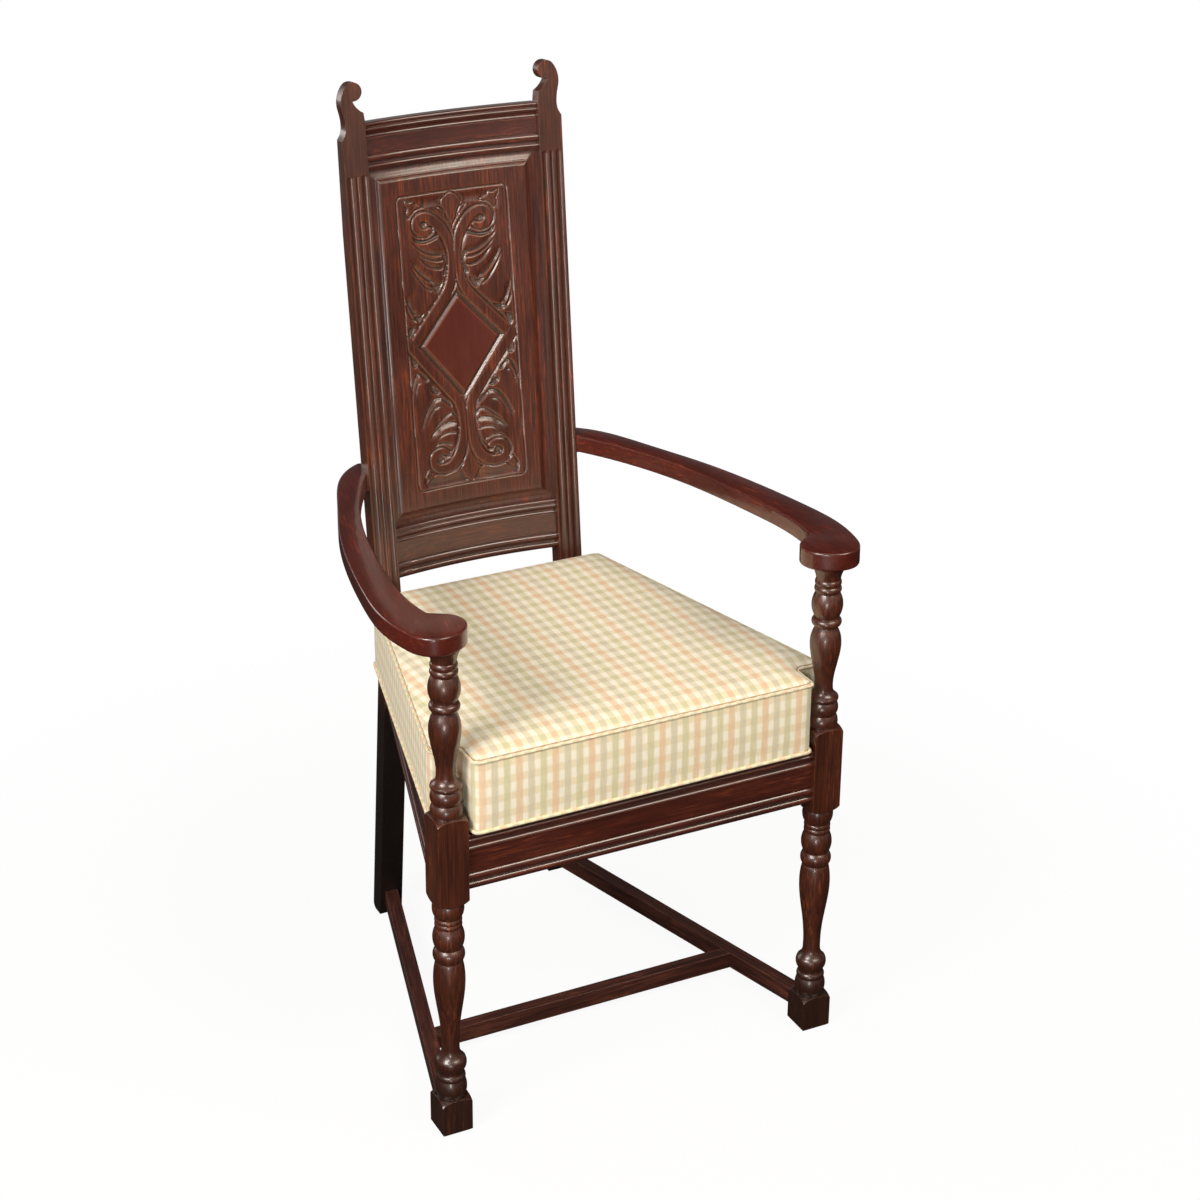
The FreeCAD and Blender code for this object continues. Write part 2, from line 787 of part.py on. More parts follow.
def arm_blank():
    """Right-hand arm before it is fitted to the posts."""
    outer = Part.BSplineCurve()
    outer.interpolate([arm_point(pair) for pair in arm_outer_shares])
    inner = Part.BSplineCurve()
    inner.interpolate([arm_point(pair) for pair in arm_inner_shares])
    rear = arm_point(arm_outer_shares[0])
    housing_x = stile_side_x - arm_housing
    tail = [
        arm_point(arm_inner_shares[-1]),
        vec(housing_x, post_side / 2 + arm_run, 0),
        vec(housing_x, rear.y, 0),
        rear,
    ]
    edges = [outer.toShape(), inner.toShape()]
    for a, b in zip(tail, tail[1:]):
        edges.append(Part.makeLine(a, b))
    board = Part.Face(Part.Wire(edges)).extrude(vec(0, 0, arm_thickness))
    curved = [e for e in board.Edges if isinstance(e.Curve, Part.BSplineCurve)]
    board = board.makeFillet(arm_edge_radius, curved)
    board.translate(vec(0, 0, arm_front_height - arm_thickness))
    fall = math.degrees(math.atan2(arm_front_height - arm_rear_height, arm_run))
    board.rotate(vec(0, post_side / 2, arm_front_height), X_AXIS, -fall)
    return board


def arm_tenon(play):
    """Round tenon at the top of the front post, or with play its socket in the arm."""
    bottom = arm_front_height - arm_thickness - pommel_rise
    top = arm_front_height - arm_thickness + arm_tenon_length
    length = top - bottom + (mortise_floor_play if play else 0)
    return Part.makeCylinder(arm_tenon_radius + play, length, vec(post_axis_x, post_side / 2, bottom))


def arm_dowel(play):
    """Dowel that ties the arm to the side of the rear post."""
    y = post_side / 2 + arm_run + stile_depth / 2
    z = arm_rear_height - arm_thickness / 2
    start = stile_side_x - dowel_depth - (mortise_floor_play if play else 0)
    length = 2 * (stile_side_x - start)
    return Part.makeCylinder(dowel_radius + play, length, vec(start, y, z), X_AXIS)


# Stretchers: two at the sides and one across, tenoned low into the posts.
stretcher_top = stretcher_bottom + stretcher_height


def stretcher_line():
    """Ends of the right-hand stretcher's outer face, on the front post's back and the rear post's front."""
    level = (stretcher_bottom + stretcher_top) / 2
    rear_y = seat_depth + rear_foot_rake * (1 - level / bend_height)
    front = vec(front_width / 2 - stretcher_front_inset, post_side, 0)
    rear = vec(outer_x(level) - stretcher_rear_inset, rear_y, 0)
    return front, rear


def side_stretcher(rear_post):
    front, rear = stretcher_line()
    direction = (rear - front).normalize()
    inwards = vec(-direction.y, direction.x, 0) * stretcher_thickness
    start = front - direction * overrun
    end = rear + direction * overrun
    flat = [vec(p.x, p.y, stretcher_bottom) for p in (start, end, end + inwards, start + inwards)]
    bar = prism(flat, vec(0, 0, stretcher_height))
    front_waste = box((0, -front_width, 0), (front_width, post_side, height))
    rear_waste = box((0, rear.y + stile_depth / 2, 0), (front_width, rear.y + front_width, height))
    bar = bar.cut(front_waste).cut(rear_waste).cut(rear_post)
    bar = max(bar.Solids, key=lambda s: s.Volume)
    return bar.fuse(stretcher_tenons(0))


def stretcher_tenons(play):
    front, rear = stretcher_line()
    direction = (rear - front).normalize()
    half = stretcher_thickness / 2 / direction.y
    low = stretcher_bottom + tenon_shoulder / 2
    high = stretcher_top - tenon_shoulder / 2
    length = stretcher_tenon_length
    pair = []
    for place, way in ((front, -1), (rear, 1)):
        mid = place - X_AXIS * half
        pair.append(tenon(
            mid, vec(0, way, 0), X_AXIS, tenon_thickness, length, low, high, length, play,
        ))
    return pair


def cross_tenon(play):
    front, rear = stretcher_line()
    y = cross_stretcher_front + cross_stretcher_thickness / 2
    direction = (rear - front).normalize()
    inner = front + direction * ((y - front.y) / direction.y) - X_AXIS * (stretcher_thickness / direction.y)
    low = stretcher_bottom + tenon_shoulder / 2
    high = stretcher_top - tenon_shoulder / 2
    length = stretcher_thickness / 2
    face = vec(inner.x, y, 0)
    return tenon(face, X_AXIS, vec(0, 1, 0), tenon_thickness, length, low, high, length * 2, play)


def cross_stretcher(side_bars):
    reach = front_width / 2
    back = cross_stretcher_front + cross_stretcher_thickness
    bar = box((-reach, cross_stretcher_front, stretcher_bottom), (reach, back, stretcher_top))
    bar = bar.cut(side_bars[0]).cut(side_bars[1])
    bar = min(bar.Solids, key=lambda s: abs(s.CenterOfMass.x))
    right = cross_tenon(0)
    return bar.fuse([right, mirrored(right, -1)])


# Seat board: drops inside the rails and lies on the corner blocks.
def seat_hollow(gap):
    """Corners of the space inside the seat rails, kept a gap away from them."""
    front_y = rail_setback + rail_thickness + gap
    rear_y = seat_depth + stile_depth - tenon_shoulder / 2 - rail_thickness - gap
    slope = math.tan(side_rail_angle)
    inner = (rail_thickness + gap) / math.cos(side_rail_angle)

    def x_at(y):
        return side_rail_front_x - inner - (y - post_side) * slope

    right = [(x_at(front_y), front_y), (x_at(rear_y), rear_y)]
    left = [(-x, y) for x, y in right]
    return [left[0], right[0], right[1], left[1]]


def seat_board(posts):
    top = seat_rail_top
    flat = [vec(x, y, top - seat_board_thickness) for x, y in seat_hollow(seat_board_gap)]
    board = prism(flat, vec(0, 0, seat_board_thickness))
    half = post_side + seat_board_gap
    for side in (-1, 1):
        corner_x = side * front_width / 2
        low_x = min(corner_x, corner_x - side * half)
        board = board.cut(box((low_x, 0, 0), (low_x + half, half, height)))
    for post in posts:
        board = board.cut(post)
    return board


# Corner blocks: glued and screwed into the corners of the seat frame, one node each.
def corner_block(rear, posts):
    """Right-hand block of the front or the rear corner."""
    corners = seat_hollow(0)
    corner = vec(corners[2][0], corners[2][1], 0) if rear else vec(corners[1][0], corners[1][1], 0)
    rail_way = vec(-math.sin(side_rail_angle), math.cos(side_rail_angle), 0) * (-1 if rear else 1)
    top = seat_rail_top - seat_board_thickness
    flat = [corner, corner + rail_way * corner_block_leg, corner - X_AXIS * corner_block_leg]
    flat = [vec(p.x, p.y, top - corner_block_height) for p in flat]
    block = prism(flat, vec(0, 0, corner_block_height))
    for post in posts:
        block = block.cut(post)
    return max(block.Solids, key=lambda s: s.Volume)


def screw_lines(rear):
    """Start under the head and direction of each screw of one right-hand corner block."""
    corners = seat_hollow(0)
    corner = vec(corners[2][0], corners[2][1], 0) if rear else vec(corners[1][0], corners[1][1], 0)
    flip = -1 if rear else 1
    rail_way = vec(-math.sin(side_rail_angle), math.cos(side_rail_angle), 0) * flip
    level = vec(0, 0, seat_rail_top - seat_board_thickness - corner_block_height / 2)
    head_back = screw_length - screw_bite
    side_out = vec(math.cos(side_rail_angle), math.sin(side_rail_angle), 0)
    cross_out = vec(0, -flip, 0)
    return [
        (corner + rail_way * screw_place - side_out * head_back + level, side_out),
        (corner - X_AXIS * screw_place - cross_out * head_back + level, cross_out),
    ]


def screw(start, direction, play):
    """Countersunk wood screw with a plain shank, or with play its hole."""
    radius = screw_radius + play
    point = screw_radius * 2
    shank = Part.makeCylinder(radius, screw_length - point, start, direction)
    neck = start + direction * (screw_length - point)
    tip = Part.makeCone(radius, radius * screw_tip_share, point + play, neck, direction)
    head = Part.makeCone(screw_head_radius + play, radius, screw_head_height, start, direction)
    pieces = [tip, head]
    if play:
        back = start - direction * corner_block_leg
        pieces.append(Part.makeCylinder(screw_head_radius + play, corner_block_leg, back, direction))
    return shank.fuse(pieces)


# Cushion: a loose box cushion, notched round the front posts, with a crowned top and drawn-in seams.
# Each level is (inset from the seam line, height): shares of the crown on top, of the seam below it.
cushion_crown_shares = ((0.25, 0.22), (0.90, 0.48), (2.3, 0.76), (4.6, 0.93), (7.4, 1.0))
cushion_seam_shares = ((0.75, 0.0), (0.22, 0.30), (0.0, 0.65))
cushion_seam = 9.0


def cushion_outline(inset, z):
    """Outline of the cushion, drawn in by an inset, at one height."""
    front_y = -cushion_front_overhang + inset
    shelf_y = post_side + cushion_notch_gap + inset
    rear_y = seat_depth - cushion_rear_gap - inset
    full_run = seat_depth - cushion_rear_gap - post_side - cushion_notch_gap
    slope = (cushion_shelf_width - cushion_rear_width) / 2 / full_run
    drawn = inset * math.hypot(1, slope)

    def side_x(y):
        return cushion_shelf_width / 2 - (y - post_side - cushion_notch_gap) * slope - drawn

    front_x = cushion_front_width / 2 - inset
    right = [(front_x, front_y), (front_x, shelf_y), (side_x(shelf_y), shelf_y), (side_x(rear_y), rear_y)]
    left = [(-x, y) for x, y in reversed(right)]
    corners = [vec(x, y, 0) for x, y in right + left]
    return rounded_outline(corners, cushion_corner_radius, z)


def cushion():
    bottom = seat_rail_top + cushion_clearance
    top_seam = bottom + cushion_boxing
    levels = []
    for inset_share, height_share in cushion_seam_shares:
        levels.append((cushion_seam * inset_share, bottom + cushion_seam * height_share))
    levels.append((-cushion_bulge, bottom + cushion_boxing / 2))
    levels.append((-cushion_bulge, top_seam - cushion_boxing / 4))
    levels.append((0, top_seam))
    for inset_share, height_share in cushion_crown_shares:
        levels.append((cushion_crown * inset_share, top_seam + cushion_crown * height_share))
    wires = [cushion_outline(inset, z) for inset, z in levels]
    return Part.makeLoft(wires, True, True)


# Assembly
front_blank = front_post_blank()
rear_blank = rear_post_blank()
rear_blanks = [rear_blank, mirrored(rear_blank, -1)]
front_blanks = [front_blank, mirrored(front_blank, -1)]
arm_board = arm_blank()

front_post = front_blank.cut(arm_board).fuse(arm_tenon(0))
front_post = max(front_post.Solids, key=lambda s: s.Volume)
front_post = front_post.cut([front_rail_tenon(mortise_play), side_rail_tenons(mortise_play)[0]])
front_post = front_post.cut(stretcher_tenons(mortise_play)[0])

arm = arm_board.cut(rear_blank).cut([arm_tenon(mortise_play), arm_dowel(mortise_play)])
arm = max(arm.Solids, key=lambda s: s.Volume)

rear_cuts = [rear_rail_tenon(mortise_play), side_rail_tenons(mortise_play)[1]]
rear_cuts += [stretcher_tenons(mortise_play)[1], arm_dowel(mortise_play), set_in_back(groove_cutter())]
for place_and_size in ((crest_top - crest_height, crest_height), (lower_rail_bottom, lower_rail_height)):
    rear_cuts.append(set_in_back(back_rail_tenons(*place_and_size, mortise_play)[0]))
for flute_offset in (-flute_pitch, flute_pitch):
    rear_cuts.append(flute_cutter(flute_width, flute_depth, flute_offset))
rear_cuts.append(flute_cutter(centre_flute_width, centre_flute_depth, 0))
rear_post = rear_blank.cut(rear_cuts)

side_rail = side_seat_rail(rear_blank)
front_rail = front_seat_rail()
rear_rail = rear_seat_rail()
side_bar = side_stretcher(rear_blank)
cross_bar = cross_stretcher([side_bar, mirrored(side_bar, -1)])
side_bar = side_bar.cut(cross_tenon(mortise_play))

blocks = {}
screws = []
for place, is_rear in (("front", False), ("rear", True)):
    block = corner_block(is_rear, [front_blank, rear_blank])
    for screw_start, screw_way in screw_lines(is_rear):
        hole = screw(screw_start, screw_way, screw_play)
        block = block.cut(hole)
        side_rail = side_rail.cut(hole)
        for mirror_side in (1, -1):
            front_rail = front_rail.cut(mirrored(hole, mirror_side))
            rear_rail = rear_rail.cut(mirrored(hole, mirror_side))
            screws.append(mirrored(screw(screw_start, screw_way, 0), mirror_side))
    blocks[place] = block

nodes = {
    "front_seat_rail": front_rail,
    "rear_seat_rail": rear_rail,
    "cross_stretcher": cross_bar,
    "seat_board": seat_board(rear_blanks),
    "crest_rail": back_rail(crest_top - crest_height, crest_height),
    "lower_back_rail": back_rail(lower_rail_bottom, lower_rail_height),
    "back_panel": back_panel(),
    "corner_block_screws": Part.makeCompound(screws),
    "arm_dowels": Part.makeCompound([mirrored(arm_dowel(0), side) for name, side in SIDES]),
    "cushion": cushion(),
}
for side_name, side in SIDES:
    nodes["front_post_" + side_name] = mirrored(front_post, side)
    nodes["rear_post_" + side_name] = mirrored(rear_post, side)
    nodes["arm_" + side_name] = mirrored(arm, side)
    nodes["side_seat_rail_" + side_name] = mirrored(side_rail, side)
    nodes["side_stretcher_" + side_name] = mirrored(side_bar, side)
    for place, block in blocks.items():
        nodes["corner_block_" + place + "_" + side_name] = mirrored(block, side)

# The origin goes to the middle of the chair's outline on the floor.
boxes = [shape.optimalBoundingBox(False, False) for shape in nodes.values()]
front_edge = min(bounds.YMin for bounds in boxes)
rear_edge = max(bounds.YMax for bounds in boxes)
to_origin = vec(0, -(front_edge + rear_edge) / 2, 0)

os.makedirs("parts", exist_ok=True)
for node_name, shape in nodes.items():
    placed = shape.copy()
    placed.translate(to_origin)
    placed.exportStep(os.path.join("parts", node_name + ".step"))
    solids = len(placed.Solids)
    print(node_name, "solids", solids, "valid", placed.isValid(), "volume", round(placed.Volume))
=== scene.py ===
import bpy
import bmesh
import math
import numpy as np
from mathutils import Matrix, Vector


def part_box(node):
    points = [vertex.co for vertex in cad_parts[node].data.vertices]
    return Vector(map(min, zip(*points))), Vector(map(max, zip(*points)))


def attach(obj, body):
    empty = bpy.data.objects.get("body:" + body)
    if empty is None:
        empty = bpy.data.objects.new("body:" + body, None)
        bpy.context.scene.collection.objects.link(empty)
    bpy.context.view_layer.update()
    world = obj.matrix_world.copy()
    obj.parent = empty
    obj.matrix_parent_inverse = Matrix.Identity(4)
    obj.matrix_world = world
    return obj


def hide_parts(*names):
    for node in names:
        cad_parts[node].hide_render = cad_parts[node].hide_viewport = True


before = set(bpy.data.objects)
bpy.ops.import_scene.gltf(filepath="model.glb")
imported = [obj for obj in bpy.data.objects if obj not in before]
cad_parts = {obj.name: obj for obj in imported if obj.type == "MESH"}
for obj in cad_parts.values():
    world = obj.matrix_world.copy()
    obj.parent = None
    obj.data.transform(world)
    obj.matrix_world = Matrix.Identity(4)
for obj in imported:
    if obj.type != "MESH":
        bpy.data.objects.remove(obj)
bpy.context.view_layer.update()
scene = bpy.context.scene

# The photograph's view and a pale studio. The chair stands on a plain pale floor that runs past the edge
# of the picture. The key light is a softbox high at the left. Weaker ones stand round the front, one hangs
# overhead and one lights the back.
picture_width = 1200
focal_pixels = 2686.27
photo_centre = (589.36, 539.62)
floor_to_lens = 2.0968
seat_bend_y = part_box("rear_post_left")[0].y
photo_y = seat_bend_y - 0.4825
lens_place = (-1.3928, photo_y - 2.5915, floor_to_lens)
azimuth, elevation, roll = (math.radians(a) for a in (-26.798, 24.121, 0.384))
backwards = Vector((
    math.sin(azimuth) * math.cos(elevation), -math.cos(azimuth) * math.cos(elevation), math.sin(elevation),
))
rightwards = Vector((math.cos(azimuth), math.sin(azimuth), 0))
upwards = backwards.cross(rightwards)
camera_x = rightwards * math.cos(roll) + upwards * math.sin(roll)
camera_y = upwards * math.cos(roll) - rightwards * math.sin(roll)
camera_data = bpy.data.cameras.new("photo_view")
camera_data.sensor_width = 36
camera_data.lens = focal_pixels * camera_data.sensor_width / picture_width
camera_data.shift_x = 0.5 - photo_centre[0] / picture_width
camera_data.shift_y = photo_centre[1] / picture_width - 0.5
camera_data.clip_end = 60
camera = bpy.data.objects.new("photo_view", camera_data)
scene.collection.objects.link(camera)
camera.matrix_world = Matrix.Translation(lens_place) @ Matrix(
    (camera_x, camera_y, backwards)
).transposed().to_4x4()
scene.camera = camera
scene.view_settings.view_transform = "Standard"


def linear(hex_colour):
    """An sRGB hex colour as linear RGBA."""
    parts = [int(hex_colour[i:i + 2], 16) / 255 for i in (1, 3, 5)]
    return [p / 12.92 if p <= 0.04045 else ((p + 0.055) / 1.055) ** 2.4 for p in parts] + [1.0]


def add(tree, kind, settings=None, **links):
    """Adds a node. A setting or link is given by the socket's name, with _ for a space, or by its number,
    and a node given as a link stands for its first output."""
    node = tree.nodes.new(kind)
    for key, value in (settings or {}).items():
        setattr(node, key, value)
    for key, value in links.items():
        socket = node.inputs[int(key[1:]) if key[0] == "i" and key[1:].isdigit() else key.replace("_", " ")]
        if isinstance(value, bpy.types.Node):
            value = value.outputs[0]
        if isinstance(value, bpy.types.NodeSocket):
            tree.links.new(value, socket)
        else:
            socket.default_value = value
    return node


# Settings that many nodes share.
colour_mix = {"data_type": "RGBA"}
smoothly = {"interpolation_type": "SMOOTHSTEP"}
times, times_plus = {"operation": "MULTIPLY"}, {"operation": "MULTIPLY_ADD"}


def new_material(name):
    material = bpy.data.materials.new(name)
    material.use_nodes = True
    material.node_tree.nodes.clear()
    return material, material.node_tree


def lamp(name, place, target, size, watts, colour):
    data = bpy.data.lights.new(name, "AREA")
    data.shape = "RECTANGLE"
    data.size, data.size_y = size
    data.energy = watts
    data.color = linear(colour)[:3]
    lamp_object = bpy.data.objects.new(name, data)
    lamp_object.location = place
    lamp_object.rotation_euler = (Vector(place) - Vector(target)).to_track_quat("Z", "Y").to_euler()
    lamp_object.visible_camera = False
    scene.collection.objects.link(lamp_object)


lamp("key_softbox", (-2.25, -1.15, 2.3), (0, 0, 0.6), (0.85, 0.85), 50, "#fff8f0")
lamp("left_strip", (-2.5, -1.5, 1.5), (0, 0, 0.8), (0.4, 1.0), 8, "#fff8f0")
lamp("front_left_softbox", (-2.1, -2.0, 2.1), (0, 0, 0.8), (0.7, 0.6), 25, "#fff8f0")
lamp("low_front_softbox", (-1.6, -3.0, 0.35), (0, 0, 0.8), (0.5, 0.6), 17, "#fffaf4")
lamp("high_front_softbox", (1.0, -2.2, 2.7), (0, 0, 0.8), (1.9, 0.9), 52, "#fff3e0")
lamp("overhead_softbox", (-0.2, -0.3, 3.2), (0, 0, 0.6), (1.4, 1.4), 6, "#ffffff")
lamp("rear_softbox", (-1.7, 2.6, 1.3), (0, 0, 0.7), (1.2, 1.2), 16, "#fffaf4")

world = bpy.data.worlds.new("studio_air")
scene.world = world
world.use_nodes = True
air = world.node_tree
air.nodes.clear()
seen = add(air, "ShaderNodeLightPath")
mirrored = add(
    air, "ShaderNodeMath", {"operation": "MAXIMUM"},
    i0=seen.outputs["Is Glossy Ray"], i1=seen.outputs["Is Transmission Ray"],
)
# Varnish mirrors the backdrop dimly up to a little above the horizon, and the studio over it hardly at all.
way = add(air, "ShaderNodeSeparateXYZ", Vector=add(air, "ShaderNodeTexCoord").outputs["Generated"])
backdrop = add(
    air, "ShaderNodeMapRange", smoothly,
    Value=way.outputs[2], From_Min=0.05, From_Max=0.40, To_Min=0.2, To_Max=0.0,
)
mirrored_white = add(air, "ShaderNodeMath", times, i0=mirrored, i1=backdrop)
white_for = add(
    air, "ShaderNodeMath", {"operation": "MAXIMUM"}, i0=seen.outputs["Is Camera Ray"], i1=mirrored_white,
)
dimmed = add(air, "ShaderNodeMath", times_plus, i0=seen.outputs["Is Glossy Ray"], i1=-0.18, i2=0.21)
plain_air = add(air, "ShaderNodeBackground", Color=linear("#f7f5f1"), Strength=dimmed)
white_air = add(air, "ShaderNodeBackground", Color=linear("#ffffff"), Strength=1.0)
air_mix = add(air, "ShaderNodeMixShader", Fac=white_for, i1=plain_air, i2=white_air)
add(air, "ShaderNodeOutputWorld", Surface=air_mix)

# A real studio floor would be painted matt board. What the camera sees of it is lifted towards white, and
# the chair's soft shadow stays on it.
floor_mesh = bpy.data.meshes.new("studio_floor")
floor_mesh.from_pydata([(-14, -14, 0), (14, -14, 0), (14, 14, 0), (-14, 14, 0)], [], [(0, 1, 2, 3)])
floor = bpy.data.objects.new("studio_floor", floor_mesh)
scene.collection.objects.link(floor)
floor_material, tree = new_material("matt_white_board")
seen = add(tree, "ShaderNodeLightPath")
board_unseen = add(
    tree, "ShaderNodeMix", colour_mix,
    Factor=seen.outputs["Is Glossy Ray"], i6=linear("#646361"), i7=linear("#333231"),
)
board_colour = add(
    tree, "ShaderNodeMix", colour_mix,
    Factor=seen.outputs["Is Camera Ray"], i6=board_unseen.outputs[2], i7=linear("#f2f2f0"),
)
board = add(tree, "ShaderNodeBsdfDiffuse", Color=board_colour.outputs[2])
lifted = add(tree, "ShaderNodeEmission", Color=linear("#ffffff"), Strength=1.0)
place = add(tree, "ShaderNodeTexCoord")
from_chair = add(tree, "ShaderNodeVectorMath", {"operation": "LENGTH"}, i0=place.outputs["Object"])
paler = add(
    tree, "ShaderNodeMapRange", smoothly,
    Value=from_chair.outputs["Value"], From_Min=0.4, From_Max=1.3, To_Min=0.93, To_Max=1.0,
)
# The varnish mirrors a grey floor round the chair, and the white backdrop from about 5 m away.
far_away = add(
    tree, "ShaderNodeMapRange", smoothly,
    Value=from_chair.outputs["Value"], From_Min=5.0, From_Max=12.0, To_Min=0.0, To_Max=0.2,
)
in_varnish = add(tree, "ShaderNodeMath", times, i0=seen.outputs["Is Glossy Ray"], i1=far_away)
looked_at = add(
    tree, "ShaderNodeMath", {"operation": "MAXIMUM"}, i0=seen.outputs["Is Camera Ray"], i1=in_varnish,
)
looked_through = add(
    tree, "ShaderNodeMath", {"operation": "MAXIMUM"}, i0=looked_at, i1=seen.outputs["Is Transmission Ray"],
)
lift = add(tree, "ShaderNodeMath", times, i0=looked_through, i1=paler)
floor_mix = add(tree, "ShaderNodeMixShader", Fac=lift, i1=board, i2=lifted)
add(tree, "ShaderNodeOutputMaterial", Surface=floor_mix)
floor_mesh.materials.append(floor_material)


# Front posts: one turned piece of stained hardwood each, square where the rails are tenoned in. The grooves
# of the turning are darkest, with dark stain and painted shade, and the stain has worn thin on the arrises.
def wood_finish(name, deep, body, warm, ember, wear_width, gloss, pores=0.4, varnish=0.5, reach=0.006):
    """Stained, varnished hardwood: fine streaks and pores, wax and painted shade in the hollows, thin stain
    on the arrises.
    """
    material, tree = new_material(name)
    grain = add(tree, "ShaderNodeAttribute", {"attribute_name": "grain"})
    # Scales are along the grain and across it: streaks 2 mm wide and 70 mm long, clouds of stain 30 mm wide
    # and 120 mm long, short flecks where the stain took thinly and the orange wood shows, open pores, and
    # patches of wear. The pores are dark dashes about 1 mm wide and 13 mm long, three times as coarse as real
    # ones so that they show.
    figure = {}
    for pattern, scale, detail, roughness, distortion in (
        ("streaks", (14, 560, 560), 6.0, 0.62, 0.25), ("clouds", (8, 30, 30), 3.0, 0.5, 0.0),
        ("flecks", (30, 380, 380), 3.0, 0.6, 0.3), ("pores", (75, 900, 900), 2.0, 0.5, 0.0),
        ("patches", (45, 160, 160), 4.0, 0.6, 0.0),
    ):
        placed = add(tree, "ShaderNodeMapping", Vector=grain.outputs["Vector"], Scale=scale)
        figure[pattern] = add(
            tree, "ShaderNodeTexNoise", Vector=placed,
            Scale=1.0, Detail=detail, Roughness=roughness, Distortion=distortion,
        )
    body_ramp = add(tree, "ShaderNodeValToRGB", Fac=figure["streaks"])
    stops = body_ramp.color_ramp.elements
    stops[0].position, stops[0].color = 0.38, linear(deep)
    stops[1].position, stops[1].color = 0.63, linear(warm)
    stops.new(0.51).color = linear(body)
    # Crevices hold dark stain and old wax and are painted darker as shade where they are occluded, and the
    # stain is thin on the arrises, where the true face and a rounded one differ.
    crevice = add(tree, "ShaderNodeAmbientOcclusion", {"samples": 4, "only_local": True}, Distance=reach)
    rounded = add(tree, "ShaderNodeBevel", {"samples": 4}, Radius=wear_width)
    true_face = add(tree, "ShaderNodeNewGeometry")
    alike = add(
        tree, "ShaderNodeVectorMath", {"operation": "DOT_PRODUCT"},
        i0=rounded, i1=true_face.outputs["Normal"],
    )
    # Each mask: what it is read from, the two readings between which it changes, and its values there.
    masks = {}
    for mask, reading, low, high, at_low, at_high in (
        ("cloudy", figure["clouds"], 0.3, 0.7, 0.82, 1.16),
        ("sheen", figure["clouds"], 0.3, 0.7, gloss - 0.04, gloss + 0.06),
        ("thin", figure["clouds"], 0.42, 0.60, 0.0, 1.0),
        ("flecked", figure["flecks"], 0.55, 0.70, 0.0, 0.60),
        ("pored", figure["pores"], 0.57, 0.70, 0.0, pores),
        ("wax_and_painted_shade", crevice.outputs["AO"], 0.28, 0.82, 0.88, 0.0),
        ("edge", alike.outputs["Value"], 0.985, 0.86, 0.0, 1.0),
        ("patchy", figure["patches"], 0.36, 0.62, 0.15, 0.85),
    ):
        masks[mask] = add(
            tree, "ShaderNodeMapRange", Value=reading,
            From_Min=low, From_Max=high, To_Min=at_low, To_Max=at_high,
        )
    flecks, patchy_edge = (
        add(tree, "ShaderNodeMath", times, i0=masks[a], i1=masks[b])
        for a, b in (("flecked", "thin"), ("edge", "patchy"))
    )
    worn = add(tree, "ShaderNodeMath", times, i0=patchy_edge, i1=crevice.outputs["AO"])
    clouded = add(tree, "ShaderNodeVectorMath", {"operation": "SCALE"}, i0=body_ramp, Scale=masks["cloudy"])
    finished = clouded.outputs[0]
    # Flecks, pores, wax with painted shade in the occluded crevices, and worn arrises.
    for colour, share in (
        (ember, flecks), ("#1a0b06", masks["pored"]), ("#120705", masks["wax_and_painted_shade"]), (ember, worn),
    ):
        finished = add(
            tree, "ShaderNodeMix", colour_mix, Factor=share, i6=finished, i7=linear(colour),
        ).outputs[2]
    height = add(tree, "ShaderNodeMath", times_plus, i0=masks["pored"], i1=-0.8, i2=figure["streaks"])
    bump = add(tree, "ShaderNodeBump", Strength=0.10, Distance=0.0003, Height=height, Normal=rounded)
    shader = add(
        tree, "ShaderNodeBsdfPrincipled", Base_Color=finished, Roughness=masks["sheen"], Normal=bump, IOR=1.5,
        Specular_IOR_Level=0.9, Coat_Weight=varnish, Coat_Roughness=0.12, Coat_IOR=1.5,
    )
    add(tree, "ShaderNodeOutputMaterial", Surface=shader)
    return material, tree, finished, shader


def darker_below(finish, low, high, share, colour):
    """Darkens a finish towards the floor, fully below one height in metres and not at all above the other."""
    material, tree, finished, shader = finish
    height = add(tree, "ShaderNodeSeparateXYZ", Vector=add(tree, "ShaderNodeTexCoord").outputs["Object"])
    low_part = add(
        tree, "ShaderNodeMapRange", smoothly,
        Value=height.outputs[2], From_Min=low, From_Max=high, To_Min=share, To_Max=0.0,
    )
    darkened = add(tree, "ShaderNodeMix", colour_mix, Factor=low_part, i6=finished, i7=linear(colour))
    tree.links.new(darkened.outputs[2], shader.inputs["Base Color"])
    return material


# The feet are darker towards the floor.
turned_wood = darker_below(wood_finish(
    "dark_stained_turned_wood", "#33140a", "#471d0d", "#5a2911", "#9a4a1e", 0.0011, 0.36, 0.25, 0.4, 0.018
), 0.05, 0.17, 0.65, "#190e09")


